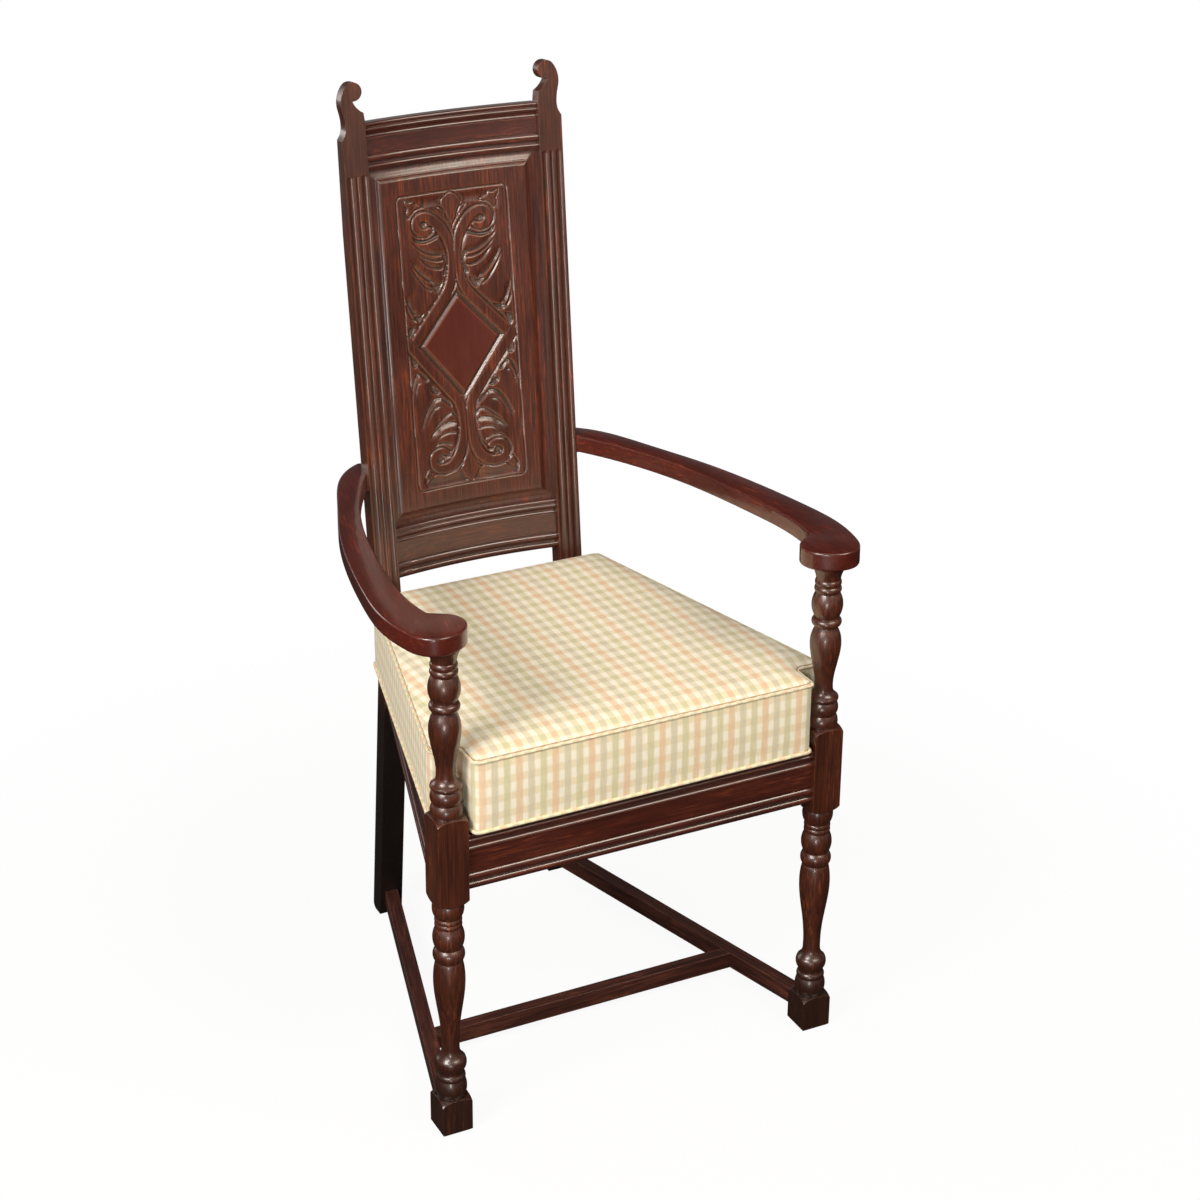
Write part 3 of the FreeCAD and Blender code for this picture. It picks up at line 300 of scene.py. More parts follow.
def dressed(node, along, material, sharp=32, seed=0.0):
    """A merged copy of a CAD node, smooth where it is curved, with its grain laid along a direction."""
    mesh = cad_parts[node].data.copy()
    mesh.name = node + "_wood"
    mesh.materials.clear()
    work = bmesh.new()
    work.from_mesh(mesh)
    bmesh.ops.remove_doubles(work, verts=work.verts, dist=0.00002)
    bmesh.ops.dissolve_degenerate(work, edges=work.edges, dist=0.00001)
    for face in work.faces:
        face.smooth = True
    for edge in work.edges:
        edge.smooth = len(edge.link_faces) == 2 and edge.calc_face_angle(0) < math.radians(sharp)
    work.to_mesh(mesh)
    work.free()
    for name in [a.name for a in mesh.attributes if a.name.startswith("custom_normal")]:
        mesh.attributes.remove(mesh.attributes[name])
    along = Vector(along).normalized()
    across = along.cross(Vector((0.31, -0.95, 0.12))).normalized()
    third = along.cross(across)
    points = np.empty(len(mesh.vertices) * 3)
    mesh.vertices.foreach_get("co", points)
    points = points.reshape(-1, 3)
    grain = points @ np.array([along, across, third]).T + np.array([seed, seed * 0.37, seed * 0.71])
    held = mesh.attributes.new("grain", "FLOAT_VECTOR", "POINT")
    held.data.foreach_set("vector", grain.astype(np.float32).ravel())
    mesh.materials.append(material)
    piece = bpy.data.objects.new(node + "_dressed", mesh)
    scene.collection.objects.link(piece)
    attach(piece, "chair")
    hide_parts(node)
    return piece


sides = (("left", 1), ("right", -1))
for number, (side, _) in enumerate(sides):
    dressed("front_post_" + side, (0, 0, 1), turned_wood, seed=0.13 + number * 1.7)

# Rear posts: sawn from a board in one piece from floor to scroll ear and fluted on the face above the seat.
# They are browner than the turned posts, and the lean of the back turns their grain.
# Below the seat they are painted nearly black: painted shade under the seat.
post_wood = darker_below(wood_finish(
    "dark_stained_sawn_wood", "#381a0d", "#472010", "#5a2b15", "#a0441a", 0.0012, 0.38, 0.35
), 0.33, 0.43, 0.96, "#0d0604")
for number, (side, _) in enumerate(sides):
    dressed("rear_post_" + side, (0, 0.117, 1), post_wood, seed=2.3 + number * 1.3)

# Rails of the back: bowed and worked with beads and coves, then stained redder than the posts.
rail_wood = wood_finish(
    "red_brown_stained_wood", "#38110a", "#48190d", "#5a2413", "#93451f", 0.0010, 0.32, 0.30, 0.9, 0.010
)[0]
for number, node in enumerate(("crest_rail", "lower_back_rail")):
    dressed(node, (1, 0, 0), rail_wood, seed=5.1 + number * 0.9)

# Seat rails: stained hardwood, tenoned into the posts, with one moulding on the front and the sides. The
# rail between the rear posts is plain, from the same board as they are.
dressed("front_seat_rail", (1, 0, 0), rail_wood, seed=7.7)
dressed("rear_seat_rail", (1, 0, 0), post_wood, seed=8.9)
for number, (side, inward) in enumerate(sides):
    dressed("side_seat_rail_" + side, (0.281 * inward, 0.96, 0), rail_wood, seed=9.4 + number * 0.8)

# Stretchers: plain bars planed from the same hardwood and tenoned low into the posts. Shoes have rubbed
# them, so they are paler and less even than the posts.
bar_wood = wood_finish(
    "shoe_rubbed_stained_wood", "#2a120b", "#46211a", "#5f3122", "#8d4d2e", 0.0014, 0.42
)[0]
for number, (side, inward) in enumerate(sides):
    dressed("side_stretcher_" + side, (0.27 * inward, 0.963, 0), bar_wood, seed=11.2 + number * 0.7)
dressed("cross_stretcher", (1, 0, 0), bar_wood, seed=13.4)

# Arms: hardwood sawn to a bow, held by the front posts' tenons and a dowel in each rear post. Hands have
# polished them to a deep, even red-brown.
arm_wood = wood_finish(
    "polished_arm_wood", "#481409", "#50170b", "#5b1c0e", "#a8401a", 0.0016, 0.33, 0.10, 0.8
)[0]
for number, (side, inward) in enumerate(sides):
    dressed("arm_" + side, (0.2 * inward, 0.98, 0), arm_wood, sharp=40, seed=14.6 + number * 1.1)

# Seat board and corner blocks: unstained softwood inside the seat frame, dull and pale beside the stained
# wood. The arms' birch dowels are bare too.
plain_wood = wood_finish(
    "plain_sawn_softwood", "#8d6a45", "#a98257", "#bf9c70", "#c9ad84", 0.0008, 0.62, 0.4, 0.0
)[0]
dressed("seat_board", (1, 0, 0), plain_wood, seed=17.0)
for number, place in enumerate(("front_left", "front_right", "rear_left", "rear_right")):
    dressed("corner_block_" + place, (1, 0, 0), plain_wood, seed=18.0 + number)
dressed("arm_dowels", (1, 0, 0), plain_wood, seed=23.0)

# Corner block screws: drawn steel, gone dull, so that they glint softly.
steel, tree = new_material("dull_drawn_steel")
place = add(tree, "ShaderNodeTexCoord")
drawn = add(tree, "ShaderNodeTexNoise", Vector=place.outputs["Object"], Scale=900.0, Detail=3.0)
tone = add(tree, "ShaderNodeValToRGB", Fac=drawn.outputs["Fac"])
tone.color_ramp.elements[0].color = linear("#6d6862")
tone.color_ramp.elements[1].color = linear("#a29d95")
steel_shader = add(tree, "ShaderNodeBsdfPrincipled", Base_Color=tone, Metallic=1.0, Roughness=0.42)
add(tree, "ShaderNodeOutputMaterial", Surface=steel_shader)
dressed("corner_block_screws", (1, 0, 0), steel, seed=25.0)

# Back panel: one bowed board with a raised field, its edges bevelled to a tongue that sits in the grooves
# of rails and posts. Inside a rounded line the field is carved with gouges: two straps rise from scrolls,
# frame a smooth lozenge and part again, with leaf lobes beside them, a bud at each end and corner leaflets.
# In millimetres: the back leans over its height from where the posts bend, and bows over its half width.
bend_height, back_lean, back_height, bow_half_width, bow_rise = 400.0, 96.1, 819.0, 123.78, 13.0
bow_set_back, field_rise, board_thickness = 4.8, 3.0, 14.0
panel_rake = math.atan2(back_lean, back_height)
panel_bow = (bow_half_width ** 2 + bow_rise ** 2) / (2 * bow_rise)
field_radius = panel_bow + field_rise
bow_axis_y = bow_set_back + bow_rise - panel_bow
field_half_width, field_low, field_high = 103.8, 633.0, 1081.6
tongue_low, tongue_high = 607.0, 1107.6
line_half_width, line_low, line_high, line_corner = 81.5, 653.5, 1061.5, 9.0
lozenge_middle, lozenge_half_width, lozenge_rise, lozenge_fall = 855.0, 64.0, 72.0, 84.0
stile_gap_low, stile_gap_high = 126.5, 129.2

# Straps, right-hand one of each pair: across, up, half width, in millimetres on the face of the panel.
upper_strap = (
    (82, 845.9, 7.5), (69.5, 859.9, 7.5), (52, 879.6, 7.5), (36, 897.6, 7.5), (20, 915.6, 7.5),
    (12, 928, 7.2), (7.4, 941, 6.8), (5.4, 957, 5.6), (5.0, 973, 5.1), (6.4, 988, 6.2), (10.5, 1001, 7.4),
    (18, 1013, 7.8), (28, 1023.5, 7.6), (40, 1029.5, 6.8), (50, 1026.5, 6.6), (53.2, 1018, 6.4),
    (49, 1010, 6.0), (40.5, 1007.6, 5.4), (33.5, 1010, 4.2),
)
lower_strap = (
    (82, 866.6, 7.5), (69.8, 850.6, 7.5), (52, 827.2, 7.5), (36, 806.2, 7.5), (20, 785.2, 7.5),
    (12, 774.5, 7.2), (8, 764, 7.0), (6.2, 750, 6.2), (6.0, 735, 6.0), (7.2, 720, 6.6), (10.5, 706, 7.6),
    (16.5, 693, 8.0), (26, 684, 7.8), (38, 680.5, 7.2), (49, 684, 7.0), (54, 693.5, 6.6), (50, 703, 6.0),
    (40.5, 705.6, 5.2), (33, 702.5, 4.0),
)
# The round eye in each scroll: across, up, radius.
scroll_eyes = ((41.5, 1018.5, 5.4), (43.5, 693.5, 6.4))
# Gouge cuts between the lobes: points, depth, width of the slope on the left and on the right of the stroke.
gouge_cuts = (
    (((10, 977), (22, 975), (34, 977), (46, 983), (57, 992), (62, 999)), 2.3, 9.0, 1.2),
    (((11, 969), (24, 967.5), (38, 971), (50, 979), (59, 990)), 1.6, 4.0, 1.2),
    (((12, 958), (24, 956.5), (36, 960), (46, 968), (55, 980)), 1.7, 7.0, 1.2),
    (((30, 936.5), (42, 943), (52, 952), (60, 962), (66, 975)), 2.4, 10.0, 1.2),
    (((36, 927), (46, 934), (54, 944), (61, 955), (67, 968)), 1.6, 4.0, 1.2),
    (((18, 940), (28, 936.6), (38, 937.4)), 2.0, 3.0, 1.2),
    (((60, 897), (68, 902), (73, 912), (77, 929)), 2.2, 8.0, 1.2),
    (((64, 890), (71, 895), (76, 905), (78, 916)), 1.5, 3.5, 1.2),
    (((50, 899), (57, 896.6), (65, 897)), 2.0, 3.0, 1.2),
    (((66, 883), (72, 881.5), (77, 883)), 1.7, 3.0, 1.2),
    (((28, 777), (40, 781), (50, 776), (59, 764), (66, 750), (70, 742)), 2.4, 1.6, 7.0),
    (((36, 770), (48, 766), (56, 756), (62, 744)), 1.3, 1.2, 3.0),
    (((14, 757), (24, 757), (34, 752), (44, 744), (53, 736)), 1.5, 1.3, 5.0),
    (((12, 741), (24, 744), (38, 741), (49, 734), (58, 726)), 2.5, 1.8, 8.0),
    (((13, 727), (26, 730), (38, 728), (48, 722)), 1.2, 1.2, 3.0),
    (((23, 712), (34, 716), (44, 717), (54, 713)), 1.5, 1.4, 3.0),
    (((20, 713), (24, 706), (31, 701.5), (37, 704)), 1.9, 1.5, 1.8),
    (((56, 813), (66, 819), (72, 815), (77, 803), (79, 788)), 2.2, 1.5, 6.0),
    (((62, 806), (69, 806), (73, 797), (75, 784)), 1.3, 1.2, 3.0),
    (((40, 793), (46, 799), (51, 797)), 1.7, 1.5, 3.0),
    (((45, 690), (39, 692), (36, 698)), 1.2, 1.4, 1.4),
    (((43, 1022), (37, 1021), (33, 1027)), 1.3, 1.6, 1.6),
)
# Hollows cut down to the ground: outlines, depths and widths of their slopes.
hollows = (
    (((22, 1005), (28, 1003), (34, 1000), (42, 999), (52, 1001), (60, 1006), (57, 997), (47, 993.5),
      (36, 994), (26, 997), (17, 1001)), 3.4, 2.2),
    (((17, 941), (28, 936), (40, 937), (35, 930), (29, 924), (22, 930)), 3.4, 2.4),
    (((48, 904), (56, 898), (67, 897), (66, 893), (60, 889), (53, 895)), 3.4, 2.4),
    (((66, 886), (76, 883), (78, 878), (76, 867), (70, 872), (67, 879)), 3.4, 2.4),
    (((11, 976), (19, 974), (15, 962), (19, 952), (18, 944), (12, 952)), 2.8, 2.2),
    (((63, 836), (70, 841), (74, 849), (77, 840), (75, 829), (68, 829)), 3.2, 2.4),
    (((52, 808), (58, 816), (66, 819), (63, 813), (57, 806)), 2.8, 2.2),
    (((36, 788), (42, 794), (50, 799), (51, 792), (43, 786)), 3.0, 2.2),
    (((20, 773), (28, 777), (36, 778), (30, 771), (20, 764)), 2.8, 2.2),
    (((12, 757), (22, 756), (17, 749), (13, 744)), 2.6, 2.2),
    (((8, 678), (22, 673), (38, 670.5), (54, 672), (64, 678), (72, 672), (70, 658), (58, 655), (10, 655),
      (4, 660)), 2.2, 9.0),
    (((16, 1041), (34, 1041), (46, 1037), (56, 1032), (64, 1027), (71, 1032), (71, 1050), (62, 1056),
      (20, 1055), (14, 1052), (17, 1046)), 1.0, 9.0),
)
# Forms left standing in those hollows: a leaflet in each corner, the top bud and its side leaves, and the
# bottom bud.
standing = (
    ((40, 1041), (46, 1047), (52, 1048.5), (55, 1053.5), (61, 1052), (68, 1055.5), (69, 1048), (65, 1043),
     (67, 1036), (62, 1030), (58, 1035), (50, 1040)),
    ((46, 674), (54, 673), (60, 668), (70, 662), (67, 669), (71, 673), (67, 679), (63, 685), (58, 680),
     (52, 677)),
    ((0, 1009), (6, 1022), (11, 1034), (15.5, 1042), (14, 1050), (8, 1055.5), (0, 1059), (-8, 1055.5),
     (-14, 1050), (-15.5, 1042), (-11, 1034), (-6, 1022)),
    ((4, 1017), (9, 1031), (16, 1040), (22, 1039), (13, 1029)),
    ((0, 718), (5, 705), (9, 692), (12, 681), (19, 674), (13, 671), (9, 663), (0, 656), (-9, 663), (-13, 671),
     (-19, 674), (-12, 681), (-9, 692), (-5, 705)),
)


def flowing(points, step=1.5):
    """Points every step or so along a smooth curve through the points given."""
    p = np.array(points, float)
    p = np.vstack([2 * p[0] - p[1], p, 2 * p[-1] - p[-2]])
    run = []
    for a, b, c, d in zip(p, p[1:], p[2:], p[3:]):
        count = max(2, int(np.hypot(*(c - b)[:2]) / step))
        t = np.linspace(0, 1, count, endpoint=False)[:, None]
        square, cube = 2 * a - 5 * b + 4 * c - d, 3 * b - a - 3 * c + d
        run.append(0.5 * (2 * b + (c - a) * t + square * t ** 2 + cube * t ** 3))
    return np.vstack(run + [p[-2:-1]])


def beside(line, across, up, reach):
    """The points near a line: their index, distance, side (left is +1) and place along it (0 to 1)."""
    low, high = line[:, :2].min(0) - reach, line[:, :2].max(0) + reach
    near = np.nonzero((across > low[0]) & (across < high[0]) & (up > low[1]) & (up < high[1]))[0]
    best = np.full(len(near), 1e9)
    side = np.zeros(len(near))
    place = np.zeros(len(near))
    at = np.stack([across[near], up[near]], 1)
    for k in range(len(line) - 1):
        a, b = line[k, :2], line[k + 1, :2]
        along = b - a
        t = np.clip(((at - a) @ along) / max(along @ along, 1e-9), 0, 1)
        gap = at - a - t[:, None] * along
        distance = np.hypot(gap[:, 0], gap[:, 1])
        closer = distance < best
        best[closer] = distance[closer]
        side[closer] = np.sign(along[0] * gap[closer, 1] - along[1] * gap[closer, 0])
        place[closer] = (k + t[closer]) / (len(line) - 1)
    return near, best, side, place


def within(outline, across, up):
    """Distance inside a closed outline, and the index of the points that lie in it."""
    ring = flowing(list(outline) + [outline[0]], 2.0)
    near, distance, _, _ = beside(ring, across, up, 1.0)
    inside = np.zeros(len(near), bool)
    x, z = across[near], up[near]
    for a, b in zip(ring, np.roll(ring, -1, 0)):
        crosses = (a[1] > z) != (b[1] > z)
        with np.errstate(divide="ignore", invalid="ignore"):
            inside ^= crosses & (x < a[0] + (z - a[1]) * (b[0] - a[0]) / (b[1] - a[1]))
    return near[inside], distance[inside]


def carving_depth(across, up):
    """Depth of the carving below the panel's field in millimetres, and where the lozenge's flat middle is."""
    depth = np.zeros(len(across))
    cut_share, fade_in_share, fade_out_share, steep_slope = 1.5, 0.18, 0.30, 2.5
    leaf_slope, leaf_rise, leaf_above, vein_cut, vein_inset, vein_width = 3.6, 2.8, 0.2, 0.5, 5.0, 0.9
    for mirror in (1, -1):
        x = across * mirror
        for outline, deep, slope in hollows:
            near, inside = within(outline, x, up)
            depth[near] = np.maximum(depth[near], deep * (1 - (1 - np.clip(inside / slope, 0, 1)) ** 2))
        for points, deep, left, right in gouge_cuts:
            near, distance, side, place = beside(flowing(points), x, up, max(left, right))
            slope = np.where(side > 0, left, right)
            fade = np.clip(np.minimum(place / fade_in_share, (1 - place) / fade_out_share), 0, 1) ** 0.7
            bend = np.where(slope > steep_slope, 1.4, 1.0)
            cut = cut_share * deep * fade * np.clip(1 - distance / slope, 0, 1) ** bend
            depth[near] = np.maximum(depth[near], cut)
        for outline in standing:
            near, inside = within(outline, x, up)
            rise = 1 - (1 - np.clip(inside / leaf_slope, 0, 1)) ** 2
            vein = vein_cut * np.exp(-((inside - vein_inset) / vein_width) ** 2)
            depth[near] = leaf_rise * (1 - rise) + vein - leaf_above
    strap_reach, strap_round, strap_above = 14.0, 1.5, 0.3
    outer_deep, outer_slope, inner_deep, inner_slope, inner_from_share = 3.4, 5.5, 2.4, 3, 0.3
    for mirror in (1, -1):
        x = across * mirror
        for strap in (upper_strap, lower_strap):
            line = flowing(strap)
            near, distance, side, place = beside(line, x, up, strap_reach)
            half = np.interp(place, np.linspace(0, 1, len(line)), line[:, 2])
            outer = side * (1 if strap is upper_strap else -1) < 0
            s = distance / half
            crown = strap_round * s ** 5 - strap_above
            past_edge = distance - half
            channel = outer_deep * np.clip(1 - past_edge / outer_slope, 0, 1) ** 1.3
            inner = (place > inner_from_share) * inner_deep * np.clip(1 - past_edge / inner_slope, 0, 1)
            channel = np.where(outer, channel, inner)
            on_strap = s < 1
            other_side = x[near] < 0
            value = np.where(on_strap, crown, np.maximum(depth[near], channel))
            depth[near] = np.where(other_side, depth[near], value)
    eye_deep, eye_slope = 4.0, 1.8
    for eye_across, eye_up, eye_radius in scroll_eyes:
        gap = eye_radius - np.hypot(np.abs(across) - eye_across, up - eye_up)
        depth = np.maximum(depth, eye_deep * np.clip(gap / eye_slope, 0, 1))
    half_height = np.where(up > lozenge_middle, lozenge_rise, lozenge_fall)
    lozenge = np.abs(across) / lozenge_half_width + np.abs(up - lozenge_middle) / half_height
    from_edge = (1 - lozenge) / np.hypot(1 / lozenge_half_width, 1 / half_height)
    # A groove runs round the lozenge: a steep wall under the straps, and a wide bevel up to the flat.
    groove_run, groove_depth = (0, 0.6, 3.4, 4.0, 4.6, 8.2, 9.0), (0.2, 0.8, 3.8, 4.2, 3.9, 0.5, 0.25)
    flat_from, flat_blend = 3.6, 1.2
    depth = np.where(from_edge > 0, np.interp(from_edge, groove_run, groove_depth), depth)
    return depth, np.clip((from_edge - flat_from) / flat_blend, 0, 1)


def rounded_box_distance(across, up):
    """Signed distance from the incised line round the carving, negative inside."""
    middle = (line_low + line_high) / 2
    qx = np.abs(across) - line_half_width + line_corner
    qz = np.abs(up - middle) - (line_high - line_low) / 2 + line_corner
    outside = np.hypot(np.maximum(qx, 0), np.maximum(qz, 0))
    return outside + np.minimum(np.maximum(qx, qz), 0) - line_corner


# Round the carving the field falls in a bevel to the tongue: millimetres out from its edge, and down.
margin_run = (0, 0.6, 1.4, 2.9, 4.4, 5.0, 5.3, 6.4, 6.8, 7.2, 9.5, 12.5, 15.0)
margin_depth = (0, 0.1, 0.45, 1.2, 2.0, 2.5, 3.1, 3.1, 3.6, 3.8, 4.4, 5.2, 6.0)
# The mesh's lines lie about 1 mm apart on the carving and wider on the plain margin. The outermost ones
# follow the posts, which spread a little towards the top.
carved_half, carved_past, outermost = 87, 2, 124.0
lines_on_carving, rows_on_carving = 171, 398
fine = np.linspace(-carved_half, carved_half, lines_on_carving)
outer = [field_half_width + t for t in margin_run]
half_lines = [91, 97, 101, 102.8] + outer + [outermost]
lines_across = np.array(sorted([-x for x in half_lines] + list(fine) + half_lines))
fine_up = np.linspace(line_low - carved_past, line_high + carved_past, rows_on_carving)
above = [field_high + t for t in margin_run]
below = [field_low - t for t in margin_run]
edge_up = [tongue_low, 613, 637, 642, 647, 1067, 1072, 1078, 1080.8, 1102, tongue_high]
lines_up = np.array(sorted(list(fine_up) + above + below + edge_up))
grid_x, grid_z = np.meshgrid(lines_across, lines_up)
half_gap = np.interp(grid_z, (tongue_low, tongue_high), (stile_gap_low, stile_gap_high))
grid_x = np.where(np.abs(grid_x) == outermost, np.sign(grid_x) * half_gap, grid_x)
flat_x, flat_z = grid_x.ravel(), grid_z.ravel()
# The carver's drawing was laid on a little askew: its top leans 3 mm to the left.
field_middle, askew_lean = 857, 0.015
askew_x = flat_x + (flat_z - field_middle) * askew_lean
carved, smooth_field = carving_depth(askew_x, flat_z)
from_line = rounded_box_distance(askew_x, flat_z)
carved = np.where(from_line < 0, carved, 0)
line_depth, line_inset, line_half_cut = 1.6, 1.2, 1.4
line_cut = np.clip(1 - np.abs(from_line + line_inset) / line_half_cut, 0, 1)
carved = np.maximum(carved, line_depth * line_cut)
# Small ripples that the gouge left.
tooling = np.sin(flat_x * 2.1 + np.sin(flat_z * 0.7) * 2) * np.sin(flat_z * 1.7 + np.sin(flat_x * 0.9) * 2)
carved += np.where(carved > 1.2, 0.16, 0.03) * tooling * (from_line < 0) * (smooth_field < 0.5)
past_ends = np.maximum(flat_z - field_high, field_low - flat_z)
past_field = np.maximum(np.abs(flat_x) - field_half_width, past_ends)
edge_depth = np.interp(past_field, margin_run, margin_depth, left=0)
depth = np.where(past_field > 0, edge_depth, carved)


def on_panel(x, z, radius):
    """Millimetres across and up the panel, and a radius from the axis of its bow, to the chair's metres."""
    depth_in = bow_axis_y + np.sqrt(radius ** 2 - x ** 2)
    up = (z - bend_height) / math.cos(panel_rake)
    y = seat_bend_y * 1000 + depth_in * math.cos(panel_rake) + up * math.sin(panel_rake)
    z = bend_height - depth_in * math.sin(panel_rake) + up * math.cos(panel_rake)
    return np.stack([x, y, z], -1) / 1000


# Grooves lie deeper than what is round them, ridges stand higher.
mean_depth = depth.reshape(grid_x.shape)
for axis in (0, 1):
    mean_depth = sum(np.roll(mean_depth, k, axis) for k in (-2, -1, 0, 1, 2)) / 5
relief = (depth - mean_depth.ravel()) * (past_field < 0)
rows, columns = grid_x.shape
front = on_panel(flat_x, flat_z, field_radius + depth)
back = on_panel(flat_x, flat_z, np.full(len(flat_x), panel_bow + board_thickness))
number = np.arange(rows * columns).reshape(rows, columns)
front_corners = [number[:-1, :-1], number[:-1, 1:], number[1:, 1:], number[1:, :-1]]
back_columns = np.unique(np.linspace(0, columns - 1, 15).round().astype(int))
back_number = number + rows * columns
faces = [tuple(f) for f in np.stack(front_corners, -1).reshape(-1, 4)]
for c0, c1 in zip(back_columns, back_columns[1:]):
    for r in range(rows - 1):
        low_edge = back_number[r, c0:c1 + 1][::1 if r == 0 else c1 - c0]
        high_edge = back_number[r + 1, c0:c1 + 1][::1 if r == rows - 2 else c1 - c0]
        faces.append((*high_edge, *low_edge[::-1]))
for c in range(columns - 1):
    faces.append((number[0, c + 1], number[0, c], back_number[0, c], back_number[0, c + 1]))
    faces.append((number[-1, c], number[-1, c + 1], back_number[-1, c + 1], back_number[-1, c]))
for r in range(rows - 1):
    faces.append((number[r, 0], number[r + 1, 0], back_number[r + 1, 0], back_number[r, 0]))
    faces.append((number[r + 1, -1], number[r, -1], back_number[r, -1], back_number[r + 1, -1]))
panel_mesh = bpy.data.meshes.new("carved_panel")
panel_mesh.from_pydata(np.vstack([front, back]).tolist(), [], [tuple(int(i) for i in f) for f in faces])
panel_mesh.shade_smooth()
blank = np.zeros(len(back))
front_grain, back_grain = (np.stack([flat_z, flat_x, into], -1) for into in (depth, blank + 20))
panel_grain = np.vstack([front_grain, back_grain]) / 1000 + 27.3
for attribute_name, values, kind in (
    ("grain", panel_grain.ravel(), "FLOAT_VECTOR"),
    ("hollow", np.concatenate([np.clip(carved / 3.4, 0, 1) * (past_field <= 0), blank]), "FLOAT"),
    ("smooth_field", np.concatenate([smooth_field, blank]), "FLOAT"),
    ("groove", np.concatenate([np.clip(relief / 0.7, 0, 1), blank]), "FLOAT"),
    ("ridge", np.concatenate([np.clip(-relief / 0.6, 0, 1), blank]), "FLOAT"),
):
    held = panel_mesh.attributes.new(attribute_name, kind, "POINT")
    held.data.foreach_set("vector" if kind == "FLOAT_VECTOR" else "value", values.astype(np.float32))
board = bmesh.new()
board.from_mesh(panel_mesh)
loose = [v for v in board.verts if not v.link_faces]
bmesh.ops.delete(board, geom=loose, context="VERTS")
bmesh.ops.recalc_face_normals(board, faces=board.faces)
for edge in board.edges:
    edge.smooth = len(edge.link_faces) == 2 and edge.calc_face_angle(0) < math.radians(62)
board.to_mesh(panel_mesh)
board.free()
panel_wood, tree, coloured, shader = wood_finish(
    "stained_carved_panel_wood", "#2f0f07", "#4a1c0d", "#6e2f13", "#ab4717", 0.0010, 0.36, 0.6, 0.4
)
grain = add(tree, "ShaderNodeAttribute", {"attribute_name": "grain"})
dust = add(tree, "ShaderNodeTexNoise", Vector=grain.outputs["Vector"], Scale=420.0, Detail=4.0, Roughness=0.7)
patchy_dust = add(tree, "ShaderNodeMapRange", Value=dust, From_Min=0.35, From_Max=0.65, To_Min=0.15)
# The flat lozenge is redder. Grey-brown wax and dust lie in the cuts, patchily. The bottom of each groove
# is painted near black as shade, and the ridges beside it are lighter, by wear and by a painted highlight.
for attribute_name, low, high, share, colour in (
    ("smooth_field", 0.0, 1.0, 0.80, "#55190b"), ("hollow", 0.45, 0.95, 0.62, "#7d6c5b"),
    ("groove", 0.0, 1.0, 0.85, "#150704"), ("ridge", 0.0, 1.0, 0.35, "#8f4f2c"),
):
    place = add(tree, "ShaderNodeAttribute", {"attribute_name": attribute_name})
    amount = add(
        tree, "ShaderNodeMapRange", Value=place.outputs["Fac"], From_Min=low, From_Max=high, To_Max=share,
    )
    if attribute_name == "hollow":
        amount = add(tree, "ShaderNodeMath", times, i0=amount, i1=patchy_dust)
    coloured = add(
        tree, "ShaderNodeMix", colour_mix, Factor=amount, i6=coloured, i7=linear(colour),
    ).outputs[2]
tree.links.new(coloured, shader.inputs["Base Color"])
panel_mesh.materials.append(panel_wood)
carved_panel = bpy.data.objects.new("carved_panel", panel_mesh)
scene.collection.objects.link(carved_panel)
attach(carved_panel, "chair")
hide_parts("back_panel")

# Cushion: a loose box cushion notched round the front posts, a soft filling in a woven cotton check cover.
# The cover is sewn from a top, a bottom and a boxing strip, with a welt in both seams that runs right round.
cushion_low, seam_low, seam_high, crown_high = 0.4313, 0.4368, 0.5335, 0.5453
cushion_front_y, notch_y, cushion_rear_y = (photo_y + y for y in (-0.0040, 0.0440, 0.4805))
front_half_width, shelf_half_width, rear_half_width = 0.2390, 0.2780, 0.1720
corner_round = 0.009


def cushion_ring(inset, step=0.006):
    """Points round the cushion's notched outline, drawn in by an inset, anticlockwise seen from above."""
    side_slope = (shelf_half_width - rear_half_width) / (cushion_rear_y - notch_y)
    drawn = inset * math.hypot(1, side_slope)
    shelf_y, back_y = notch_y + inset, cushion_rear_y - inset
    shelf_x = shelf_half_width - inset * side_slope - drawn
    rear_x = rear_half_width + inset * side_slope - drawn
    right = [
        (front_half_width - inset, cushion_front_y + inset), (front_half_width - inset, shelf_y),
        (shelf_x, shelf_y), (rear_x, back_y),
    ]
    corners = right + [(-x, y) for x, y in reversed(right)]
    points = []
    for k, corner in enumerate(corners):
        before, here, after = Vector(corners[k - 1]), Vector(corner), Vector(corners[(k + 1) % len(corners)])
        into, out = (here - before).normalized(), (after - here).normalized()
        turn = into.angle(out)
        reach = corner_round * math.tan(turn / 2)
        start, end = here - into * reach, here + out * reach
        for t in np.linspace(0, 1, 6):
            points.append(start * (1 - t) ** 2 + here * 2 * t * (1 - t) + end * t ** 2)
    ring = []
    for a, b in zip(points, points[1:] + points[:1]):
        count = max(1, round((b - a).length / step))
        ring.extend((a.lerp(b, t)) for t in np.linspace(0, 1, count, endpoint=False))
    return ring


